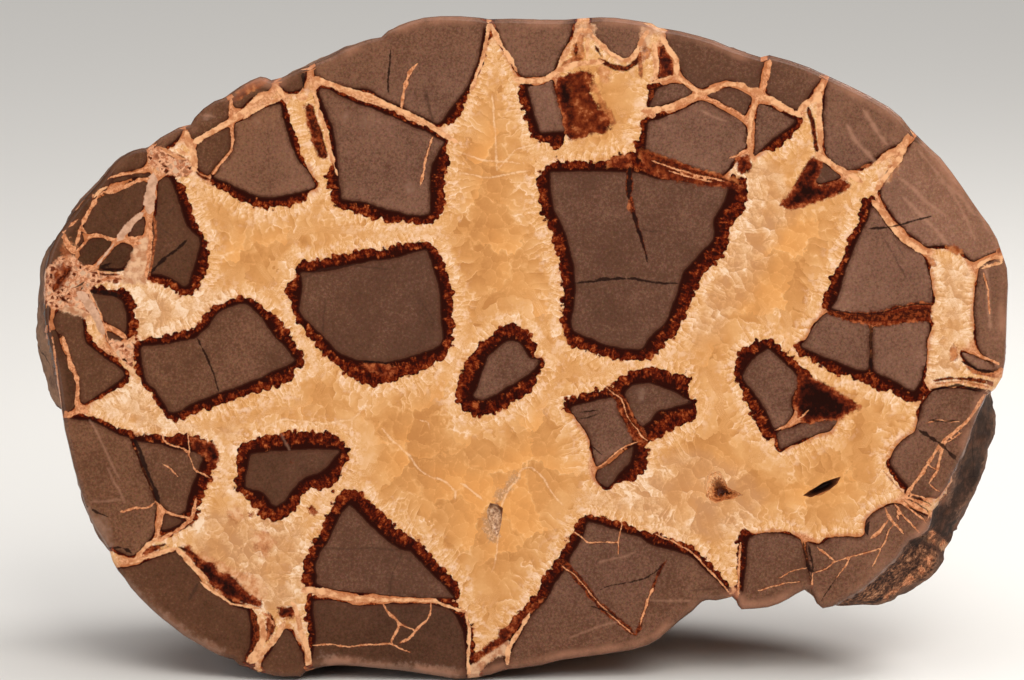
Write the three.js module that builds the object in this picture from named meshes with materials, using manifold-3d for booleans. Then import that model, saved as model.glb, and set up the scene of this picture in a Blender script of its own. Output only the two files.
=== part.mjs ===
// Half of a septarian nodule: one stone, sawn and polished across its middle,
// standing on a small flat under its belly with the polished face leaning back.
// Millimetres, +Z up, +X to the right and +Y away from someone facing the cut.
import * as THREE from 'three';
import { mergeVertices } from 'three/addons/utils/BufferGeometryUtils.js';
import Module from 'manifold-3d';

const wasm = await Module();
wasm.setup();

// ---------------------------------------------------------------- sizes (mm)
const NODULE_WIDTH = 200;          // widest span of the whole stone
const NODULE_DEPTH = 62;           // polished face to the rounded back
const FACE_LEAN = 10;              // degrees the polished face leans back
const EDGE_ROUND = 1.0;            // softened edge around the polished face
const GIRTH_DEPTH = 14;            // where the stone is widest, behind the face
const PLATE_GROOVE = 1.6;          // depth of the grooves between rind plates
const PLATE_GROOVE_WIDTH = 8;      // and how wide they are
const RIND_LUMPS = 1.1;            // gentle lumps of the weathered rind
const BROKEN_ROUGHNESS = 1.9;      // height of the ledges on the broken corner
const BACK_RINGS = 20;             // rings from the girth to the middle of the back
const BACK_SQUARENESS = 0.66;      // below 1 the back is fuller than an ellipse
const SETTLE = 1.6;                // how far the belly is ground flat to stand
const PIT_DEPTH = 5.2;             // the open pit lined with crystals
const SLIT_DEPTH = 4.6;            // the open slit
const CRUSTED_DEPTH = 2.4;         // the shallow crusted pit
const CRACK_HOLE_DEPTH = 3.6;      // the small dark hole in the broken corner
const CRUST_GAP = 0.3;             // crystal crust to the wall of its pit
const CRUST_THICKNESS = 0.75;

// The cut face is drawn on a grid of drawing units, u to the right, v down.
const DRAWING_WIDTH = 980;                     // u from 27 to 1007
const UNIT = NODULE_WIDTH / DRAWING_WIDTH;     // mm per drawing unit
const MID = { u: 518, v: 348 };                // middle of the face
const GROUND_V = 682;                          // the table line at the face

// Edge of the polished face, clockwise from the left.
const FACE_EDGE = [
  [44, 300], [44, 284], [45, 268], [49, 252], [56, 236], [64, 225], [71, 215], [80, 203],
  [90, 192], [99, 182], [105, 174], [112, 165], [121, 157], [131, 151], [140, 148], [146, 149],
  [151, 144], [160, 137], [171, 131], [178, 127], [185, 125], [190, 124], [194, 117],
  [203, 108], [214, 100.5], [226, 96.5], [231, 93], [240, 86], [250, 80], [260, 76],
  [266, 77], [271, 79.5], [281, 77], [291, 72.5], [300, 68], [309, 65.5], [320, 60.5],
  [332, 56], [342, 49.5], [360, 42], [372, 38.5], [381, 36.5], [388, 30], [400, 25],
  [411, 20.5], [424, 17], [440, 15.5], [460, 15.5], [480, 17], [489, 18.5], [512, 18],
  [540, 19], [565, 19], [583, 17.5], [600, 16.5], [615, 17], [630, 19], [643, 21],
  [652, 22.5], [658, 26.5], [680, 30.5], [700, 35.5], [715, 40], [730, 46.5], [746, 52],
  [761, 56.5], [770, 54.5], [790, 60], [810, 67], [830, 76], [850, 85.5], [870, 95.5],
  [890, 107], [902, 117], [911, 128], [918, 135], [930, 147], [941, 157], [952, 171],
  [962, 185], [972, 200], [981, 213], [990, 225], [998, 239], [1004, 256], [1008, 268],
  [1009, 285], [1008, 305], [1007, 335], [1006, 360], [1003, 377], [996, 389], [987, 396],
  [979, 413], [973, 430], [967, 447], [960, 462], [953, 476], [948, 488], [940, 500],
  [934, 511], [932, 522], [929, 530], [921, 537], [910, 541], [904, 548], [898, 558],
  [889, 566], [879, 576], [868, 586], [857, 594], [845, 600], [833, 607], [823, 609],
  [817, 604], [814, 596], [811, 589.5], [805, 590.5], [797, 594.5], [788, 600],
  [779, 604.5], [768, 608], [755, 609.5], [742, 610], [738, 606], [736, 600], [733, 597],
  [726, 599], [716, 601], [705, 600], [700, 604], [692, 612], [680, 621], [670, 630],
  [660, 639], [648, 646], [630, 651], [600, 655.5], [579, 658], [560, 661], [540, 666],
  [520, 669], [506, 670.5], [490, 675.5], [478, 678], [466, 679.5], [455, 680], [440, 677],
  [420, 674], [400, 671], [380, 669], [360, 667], [340, 665], [325, 667], [314, 669.5],
  [306, 672], [301, 677], [285, 677.5], [272, 676], [258, 672.5], [247, 668], [239, 666],
  [232, 659], [228, 659], [219, 656], [207, 650], [195, 643], [183, 636], [173, 628],
  [160, 618], [150, 609], [139, 598], [130, 588], [124, 579], [117, 571], [112, 562],
  [108, 549], [102, 539], [96, 530], [90, 519], [85, 507], [81, 494], [77, 481],
  [73, 468], [70, 455], [67, 442], [64, 430], [62, 418], [60, 405], [58, 390], [56, 375],
  [53, 360], [49, 345], [46, 333], [44, 318],
];

// Widest outline of the stone behind the face, clockwise from the left.
const GIRTH = [
  [27, 325], [28, 305], [31, 287], [36, 264], [42, 246], [50, 232], [60, 219], [74, 202],
  [90, 186], [104, 171], [118, 156], [136, 146], [160, 136], [185, 122], [205, 105],
  [232, 91], [262, 77], [300, 67], [345, 48], [385, 31], [425, 18], [480, 16], [540, 17],
  [600, 16], [650, 23], [700, 35], [760, 54], [820, 71], [880, 101], [915, 131],
  [950, 167], [982, 213], [1000, 246], [1008, 275], [1009, 310], [1008, 350], [1006, 376],
  [1004, 392], [1006, 411], [1004, 433], [998, 455], [994, 470], [980, 509], [963, 534],
  [954, 548], [955, 561], [947, 575], [928, 591], [900, 606], [870, 614.5], [845, 615],
  [824, 609], [806, 586], [780, 588], [752, 594], [728, 590], [705, 592], [680, 606],
  [650, 628], [610, 643], [560, 654], [505, 665], [460, 673], [400, 666], [340, 661],
  [300, 668], [262, 665], [230, 651], [200, 639], [170, 621], [145, 600], [122, 572],
  [106, 557], [101, 549], [94, 541], [87, 528], [82, 513], [77, 500], [74, 489], [70, 477],
  [67, 463], [62, 448], [59, 434], [56, 423], [50, 412], [43, 401], [38, 389], [33, 371],
  [29, 353], [27, 338],
];

// Openings in the face.
const PIT = [
  [707, 476], [713, 471], [720, 471], [724, 478], [728, 487], [734, 491], [742, 495],
  [734, 499], [725, 500], [716, 503], [709, 500], [706, 489],
];
const PIT_BOTTOM = [723, 490];
const SLIT = [
  [803, 495.5], [809, 491], [816, 487], [823, 482.5], [831, 479.5], [841, 476.5],
  [837, 484], [829, 490], [820, 493.5], [811, 497.5],
];
const SLIT_BOTTOM = [823, 488];
const CRUSTED = [
  [490, 503], [497, 504], [503, 508], [502, 518], [500, 530], [497, 538], [492, 531],
  [488, 520], [487, 510],
];
const CRUSTED_BOTTOM = [495, 514];
const CRACK_HOLE = [
  [909, 547], [914, 541], [922, 538], [932, 533], [930, 542], [922, 547],
];
const CRACK_HOLE_BOTTOM = [919, 543];

// Grooves between the plates of the rind, seen through the stone from the front:
// the rim is drawn where it is and the middle of the back lies at MID.
const GROOVES = [
  [[56, 236], [180, 262], [232, 330]],
  [[50, 416], [190, 398], [232, 330]],
  [[146, 149], [235, 215], [330, 240]],
  [[232, 330], [330, 240]],
  [[190, 124], [235, 215]],
  [[271, 79], [330, 150], [330, 240]],
  [[383, 34], [410, 130], [470, 190]],
  [[489, 18], [505, 110], [470, 190]],
  [[330, 240], [470, 190]],
  [[655, 25], [610, 130], [600, 215]],
  [[470, 190], [600, 215]],
  [[762, 56], [715, 150], [600, 215]],
  [[826, 74], [715, 150]],
  [[914, 131], [830, 215], [745, 285]],
  [[1005, 262], [900, 300], [745, 285]],
  [[600, 215], [745, 285]],
  [[996, 390], [880, 398], [770, 425]],
  [[745, 285], [770, 425]],
  [[955, 552], [850, 500], [770, 425]],
  [[738, 606], [720, 520], [665, 470]],
  [[770, 425], [665, 470]],
  [[508, 670], [520, 570], [470, 500]],
  [[665, 470], [560, 455], [470, 500]],
  [[310, 668], [350, 560], [330, 480]],
  [[470, 500], [400, 450], [330, 480]],
  [[118, 570], [225, 510], [330, 480]],
  [[330, 480], [300, 400], [232, 330]],
  [[470, 190], [455, 330], [400, 450]],
  [[600, 215], [560, 330], [560, 455]],
];

// ------------------------------------------------------------------ helpers
const lerp = (a, b, t) => a + (b - a) * t;
const clamp01 = (t) => Math.min(1, Math.max(0, t));
const smooth = (a, b, x) => {
  const t = clamp01((x - a) / (b - a));
  return t * t * (3 - 2 * t);
};

// A repeatable lattice noise from -1 to 1.
function hash(i, j, k) {
  let n = (i * 374761393 + j * 668265263 + k * 2147483647) | 0;
  n = Math.imul(n ^ (n >>> 13), 1274126177);
  return ((n ^ (n >>> 16)) >>> 0) / 2147483648 - 1;
}
function noise(x, y, z) {
  const [i, j, k] = [Math.floor(x), Math.floor(y), Math.floor(z)];
  const [a, b, c] = [smooth(0, 1, x - i), smooth(0, 1, y - j), smooth(0, 1, z - k)];
  const row = (dj, dk) => lerp(hash(i, j + dj, k + dk), hash(i + 1, j + dj, k + dk), a);
  return lerp(lerp(row(0, 0), row(1, 0), b), lerp(row(0, 1), row(1, 1), b), c);
}

// A point of the drawing, pushed back from the face, in millimetres.
const lean = THREE.MathUtils.degToRad(FACE_LEAN);
const across = new THREE.Vector3(1, 0, 0);
const upFace = new THREE.Vector3(0, Math.sin(lean), Math.cos(lean));
const inward = new THREE.Vector3(0, Math.cos(lean), -Math.sin(lean));
function place(u, v, depth) {
  return new THREE.Vector3()
    .addScaledVector(across, (u - MID.u) * UNIT)
    .addScaledVector(upFace, (GROUND_V - v) * UNIT)
    .addScaledVector(inward, depth);
}

// Long sides of an outline get points in between.
function refine(outline, longest) {
  const out = [];
  outline.forEach(([u, v], i) => {
    const [u2, v2] = outline[(i + 1) % outline.length];
    const steps = Math.max(1, Math.round((Math.hypot(u2 - u, v2 - v) * UNIT) / longest));
    for (let s = 0; s < steps; s++) out.push([lerp(u, u2, s / steps), lerp(v, v2, s / steps)]);
  });
  return out;
}

// An outline moved inwards by a distance in mm (clockwise in the drawing).
function inset(outline, distance) {
  const n = outline.length;
  return outline.map(([u, v], i) => {
    const [u0, v0] = outline[(i + n - 1) % n];
    const [u1, v1] = outline[(i + 1) % n];
    const length = Math.hypot(u1 - u0, v1 - v0) || 1;
    const step = distance / UNIT / length;
    return [u - (v1 - v0) * step, v + (u1 - u0) * step];
  });
}

// How far the girth lies from the middle in one direction, in drawing units.
function girthRadius(angle) {
  const [cu, cv] = [Math.cos(angle), Math.sin(angle)];
  let best = 0;
  GIRTH.forEach(([u, v], i) => {
    const [u2, v2] = GIRTH[(i + 1) % GIRTH.length];
    const [au, av, bu, bv] = [u - MID.u, v - MID.v, u2 - u, v2 - v];
    const det = bu * cv - bv * cu;
    if (Math.abs(det) < 1e-9) return;
    const along = (av * cu - au * cv) / det;
    const far = (av * bu - au * bv) / det;
    if (far > 0 && along >= -1e-6 && along <= 1 + 1e-6) best = Math.max(best, far);
  });
  return best;
}

// Stacked closed rings, skinned. A ring has as many points as the one before it
// or half as many. The flat outline closes the first ring, a point the last.
function skin(rings, outline, backPoint) {
  const points = rings.flat();
  const flat = outline.map(([u, v]) => new THREE.Vector2(u, -v));
  const triangles = THREE.ShapeUtils.triangulateShape(flat, []).map(([a, b, c]) => {
    const facesOut = THREE.ShapeUtils.area([flat[a], flat[b], flat[c]]) > 0;
    return facesOut ? [a, b, c] : [a, c, b];
  });
  let start = 0;
  for (let r = 0; r + 1 < rings.length; r++) {
    const [n, m] = [rings[r].length, rings[r + 1].length];
    const near = (i) => start + (i % n);
    const far = (i) => start + n + (i % m);
    for (let i = 0; i < m; i++) {
      if (m === n) {
        triangles.push([near(i), near(i + 1), far(i)], [near(i + 1), far(i + 1), far(i)]);
      } else {
        triangles.push([near(2 * i), near(2 * i + 1), far(i)]);
        triangles.push([near(2 * i + 1), far(i + 1), far(i)]);
        triangles.push([near(2 * i + 1), near(2 * i + 2), far(i + 1)]);
      }
    }
    start += n;
  }
  const tip = points.push(backPoint) - 1;
  const last = rings.at(-1).length;
  for (let i = 0; i < last; i++) triangles.push([start + i, start + ((i + 1) % last), tip]);
  return { points, triangles };
}

function toSolid({ points, triangles }) {
  let geometry = new THREE.BufferGeometry().setFromPoints(points);
  geometry.setIndex(triangles.flat());
  geometry = mergeVertices(geometry, 1e-4);
  return new wasm.Manifold(new wasm.Mesh({
    numProp: 3,
    vertProperties: new Float32Array(geometry.attributes.position.array),
    triVerts: new Uint32Array(geometry.index.array),
  }));
}

function toMesh(solid, name, color, roughness) {
  const { vertProperties, triVerts, numProp } = solid.getMesh();
  const positions = [];
  for (let i = 0; i < vertProperties.length; i += numProp) {
    positions.push(vertProperties[i], vertProperties[i + 1], vertProperties[i + 2]);
  }
  const geometry = new THREE.BufferGeometry();
  geometry.setAttribute('position', new THREE.Float32BufferAttribute(positions, 3));
  geometry.setIndex(Array.from(triVerts));
  const material = new THREE.MeshStandardMaterial({ color, roughness, metalness: 0 });
  const mesh = new THREE.Mesh(geometry, material);
  mesh.name = name;
  return mesh;
}

// ------------------------------------------------------------ the stone body
const rim = refine(FACE_EDGE, 4.4);
while (rim.length % 4) {
  const [[u, v], [u2, v2]] = [rim.at(-1), rim[0]];
  rim.push([(u + u2) / 2, (v + v2) / 2]);
}
const count = rim.length;

// Direction of each rim point from the middle, kept turning one way only.
const turn = [];
rim.forEach(([u, v], i) => {
  let angle = Math.atan2(v - MID.v, u - MID.u);
  if (i > 0) {
    while (angle < turn[i - 1] - Math.PI) angle += 2 * Math.PI;
    angle = Math.max(angle, turn[i - 1] + 0.002);
  }
  turn.push(angle);
});

// The girth without its notches and corners, for the back of the stone.
const EVEN_SPAN = 0.5;             // radians averaged either way
const evenCache = new Map();
function evenRadius(angle) {
  const key = angle.toFixed(4);
  if (!evenCache.has(key)) {
    let total = 0;
    for (let k = -6; k <= 6; k++) total += girthRadius(angle + (k / 6) * EVEN_SPAN);
    evenCache.set(key, total / 13);
  }
  return evenCache.get(key);
}

// A surface point laid out flat: the rim stays put, the back's middle is MID.
function flatten(angle, sweep) {
  const radius = girthRadius(angle) * (1 - sweep);
  return [MID.u + Math.cos(angle) * radius, MID.v + Math.sin(angle) * radius];
}
function grooveAt([u, v]) {
  let nearest = Infinity;
  for (const line of GROOVES) {
    for (let i = 0; i + 1 < line.length; i++) {
      const [[au, av], [bu, bv]] = [line[i], line[i + 1]];
      const [du, dv] = [bu - au, bv - av];
      const t = clamp01(((u - au) * du + (v - av) * dv) / (du * du + dv * dv));
      nearest = Math.min(nearest, Math.hypot(u - au - du * t, v - av - dv * t));
    }
  }
  return 1 - smooth(0, PLATE_GROOVE_WIDTH / 2, nearest * UNIT);
}

// How much of the broken corner (lower right) is in this direction.
const brokenAt = (angle) => {
  const degrees = THREE.MathUtils.radToDeg(angle > Math.PI ? angle - 2 * Math.PI : angle);
  return smooth(4, 12, degrees) * (1 - smooth(38, 42, degrees));
};

// One ring of the body. widen goes from the face edge (0) to the girth (1),
// shrink pulls the ring in towards the back, every takes each 1st, 2nd or 4th point.
function ring(depth, widen, shrink, { edgeInset = 0, every = 1 } = {}) {
  const edge = edgeInset > 0 ? inset(rim, edgeInset) : rim;
  const points = [];
  const sweep = (2 / Math.PI) * Math.acos(clamp01(shrink ** (1 / BACK_SQUARENESS)));
  const even = smooth(0, 0.4, sweep);
  for (let i = 0; i < count; i += every) {
    const [u, v] = edge[i];
    const angle = lerp(turn[i], turn[0] + (i / count) * 2 * Math.PI, 0.5 * sweep * sweep);
    const radius = lerp(girthRadius(angle), evenRadius(angle), even);
    const girthU = MID.u + Math.cos(angle) * radius;
    const girthV = MID.v + Math.sin(angle) * radius;
    const flatU = lerp(u, girthU, widen) - MID.u;
    const flatV = lerp(v, girthV, widen) - MID.v;
    // Lumps and grooves fade in behind the polished edge.
    const fade = smooth(0.5, 6, depth);
    const [nu, nv, nd] = [flatU * shrink * UNIT, flatV * shrink * UNIT, depth];
    const lumps = RIND_LUMPS * (noise(nu / 17, nv / 17, nd / 17)
      + 0.5 * noise(nu / 8 + 9, nv / 8, nd / 8));
    const groove = -PLATE_GROOVE * grooveAt(flatten(angle, sweep));
    const broken = brokenAt(angle) * smooth(0.5, 3, depth) * (1 - smooth(24, 34, depth));
    const ledges = BROKEN_ROUGHNESS * broken
      * (noise(nu / 4.2, nv / 4.2, nd / 3.2) - 0.3);
    const swell = fade * (lumps + groove) * (1 - broken) + ledges;
    // Push along the way out: sideways near the rim, backwards near the back.
    const out = Math.hypot(flatU, flatV) || 1;
    const sideways = (swell * Math.max(shrink, 0.15)) / UNIT / out;
    const backwards = swell * (1 - shrink);
    const point = place(
      MID.u + flatU * (shrink + sideways),
      MID.v + flatV * (shrink + sideways),
      depth + backwards,
    );
    // The belly sags onto the table under the middle of the stone.
    const pointU = point.x / UNIT + MID.u;
    const under = smooth(285, 330, pointU) * (1 - smooth(560, 610, pointU))
      * smooth(16, 25, depth) * (1 - smooth(40, 57, depth)) * (flatV > 0 ? 1 : 0);
    const low = flatV * shrink > 200 ? under : 0;
    point.z = Math.min(point.z, lerp(point.z, -SETTLE, low));
    points.push(point);
  }
  return points;
}

const rings = [
  ring(0, 0, 1, { edgeInset: EDGE_ROUND }),
  ring(EDGE_ROUND * 0.3, 0, 1, { edgeInset: EDGE_ROUND * 0.35 }),
  ring(EDGE_ROUND, 0, 1, { edgeInset: EDGE_ROUND * 0.05 }),
  ring(3, 0.22, 1),
  ring(5.5, 0.5, 1),
  ring(9, 0.85, 1),
  ring(GIRTH_DEPTH, 1, 1),
];
for (let k = 1; k < BACK_RINGS; k++) {
  const sweep = (k / BACK_RINGS) * (Math.PI / 2);
  const depth = GIRTH_DEPTH + (NODULE_DEPTH - GIRTH_DEPTH) * Math.sin(sweep) ** 0.95;
  const every = k < BACK_RINGS * 0.35 ? 1 : k < BACK_RINGS * 0.75 ? 2 : 4;
  rings.push(ring(depth, 1, Math.cos(sweep) ** BACK_SQUARENESS, { every }));
}
const backPoint = place(MID.u, MID.v, NODULE_DEPTH);
let stone = toSolid(skin(rings, inset(rim, EDGE_ROUND), backPoint));

// ---------------------------------------------------------------- openings
// A tapered plug from a height above the face down to its deepest place.
// A scale under 1 draws the whole outline in towards that place.
function plug(outline, bottom, depth, top = -1, scale = 1) {
  const [bu, bv] = bottom;
  const drawnIn = (t) => outline.map(([u, v]) => [lerp(bu, u, scale * t), lerp(bv, v, scale * t)]);
  const stages = [[1, top], [1, Math.max(top, 0) + 0.1], [0.84, depth * 0.4], [0.58, depth * 0.78]];
  const rows = stages.map(([t, d]) => drawnIn(t).map(([u, v]) => place(u, v, d)));
  return toSolid(skin(rows, drawnIn(1), place(bu, bv, depth)));
}
stone = stone
  .subtract(plug(PIT, PIT_BOTTOM, PIT_DEPTH))
  .subtract(plug(SLIT, SLIT_BOTTOM, SLIT_DEPTH))
  .subtract(plug(CRUSTED, CRUSTED_BOTTOM, CRUSTED_DEPTH))
  .subtract(plug(CRACK_HOLE, CRACK_HOLE_BOTTOM, CRACK_HOLE_DEPTH, -4));

// The ground flat that it stands on: all below the table is cut away.
const tableBox = new THREE.BoxGeometry(400, 400, 40).translate(0, 0, -20).toNonIndexed();
tableBox.deleteAttribute('normal');
tableBox.deleteAttribute('uv');
const tableMesh = mergeVertices(tableBox);
stone = stone.subtract(new wasm.Manifold(new wasm.Mesh({
  numProp: 3,
  vertProperties: new Float32Array(tableMesh.attributes.position.array),
  triVerts: new Uint32Array(tableMesh.index.array),
})));

// ------------------------------------------------------------ crystal crust
// A thin crust of small crystals lines the pit, a hair clear of its wall.
const crustOuter = plug(PIT, PIT_BOTTOM, PIT_DEPTH - CRUST_GAP, 0.35, 0.84);
const crustInner = plug(PIT, PIT_BOTTOM, PIT_DEPTH - CRUST_GAP - CRUST_THICKNESS, -1, 0.58);
const crust = crustOuter.subtract(crustInner);

// ------------------------------------------------- origin on the resting flat
// The middle of the flat becomes the origin.
const flatBox = new THREE.Box3();
{
  const { vertProperties, numProp } = stone.getMesh();
  for (let i = 0; i < vertProperties.length; i += numProp) {
    const z = vertProperties[i + 2];
    if (Math.abs(z) < 1e-4) {
      flatBox.expandByPoint(new THREE.Vector3(vertProperties[i], vertProperties[i + 1], z));
    }
  }
}
const origin = flatBox.getCenter(new THREE.Vector3());

const nodule = toMesh(stone, 'nodule', 0x8a6a55, 0.45);
const pitCrystals = toMesh(crust, 'pit_crystals', 0xd9a878, 0.35);
const part = new THREE.Group();
for (const mesh of [nodule, pitCrystals]) {
  mesh.position.set(-origin.x, -origin.y, 0);
  part.add(mesh);
}

export default part;
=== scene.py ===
# %% [markdown]
# # A septarian nodule, sawn and polished
# The stone is half of a mud ball that cracked from the inside as it dried. The
# cracks were lined with brown aragonite and then filled with honey-coloured
# calcite, so a polished cut shows grey mudstone blocks in a net of bright veins.
# This lesson dresses one solid stone: its flat cut face, its weathered rind, and
# the small crystals in its open pit.

# %% Load the solid stone
import math

import bmesh
import bpy
import numpy as np
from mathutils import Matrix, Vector, geometry, kdtree, noise


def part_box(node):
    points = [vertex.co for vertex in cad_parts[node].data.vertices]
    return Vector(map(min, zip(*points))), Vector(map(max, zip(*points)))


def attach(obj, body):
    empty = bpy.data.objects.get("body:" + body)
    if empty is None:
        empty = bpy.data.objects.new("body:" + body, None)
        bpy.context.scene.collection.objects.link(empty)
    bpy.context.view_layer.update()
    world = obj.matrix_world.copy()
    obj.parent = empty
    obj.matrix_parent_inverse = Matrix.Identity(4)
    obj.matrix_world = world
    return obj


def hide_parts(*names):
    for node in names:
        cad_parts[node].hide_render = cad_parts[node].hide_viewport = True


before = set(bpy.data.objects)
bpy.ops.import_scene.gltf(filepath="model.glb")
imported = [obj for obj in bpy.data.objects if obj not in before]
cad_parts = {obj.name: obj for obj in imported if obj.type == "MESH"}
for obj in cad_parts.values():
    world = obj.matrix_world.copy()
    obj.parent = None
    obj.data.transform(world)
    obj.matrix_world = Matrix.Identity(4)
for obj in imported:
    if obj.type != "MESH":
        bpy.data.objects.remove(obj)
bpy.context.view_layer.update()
stone_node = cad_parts["nodule"]
print("stone as packed:", len(stone_node.data.polygons), "triangles")

# %% [markdown]
# ## Units and the drawing of the face
# The cut face is a plane that leans back by ten degrees. Everything on it is
# drawn in flat drawing units, `u` to the right and `v` down, and one unit is
# 200 mm over 980. Two small functions carry points between the drawing and the
# stone, so each outline can be written the way it is seen.

# %% Drawing units to metres and back
UNIT = 0.200 / 980
MM = UNIT * 1000
MID_U, MID_V, GROUND_V = 518, 348, 682
LEAN = math.radians(10)
STAND = Vector((0.0154515, -0.0282715, 0))
UP_FACE = Vector((0, math.sin(LEAN), math.cos(LEAN)))
INTO_STONE = Vector((0, math.cos(LEAN), -math.sin(LEAN)))


def to_stone(u, v, depth=0.0):
    """A drawing point, and how deep it lies behind the face in metres, as a place."""
    return Vector(((u - MID_U) * UNIT, 0, 0)) + (GROUND_V - v) * UNIT * UP_FACE \
        + depth * INTO_STONE + STAND


def to_drawing(places):
    """Places as rows of x, y, z become rows of u, v and depth in metres."""
    p = np.asarray(places, float) - np.array(STAND)
    return np.c_[p[:, 0] / UNIT + MID_U, GROUND_V - p @ np.array(UP_FACE) / UNIT,
                 p @ np.array(INTO_STONE)]


print("the middle of the face lies at", to_stone(MID_U, MID_V).to_tuple(4), "metres")
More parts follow.
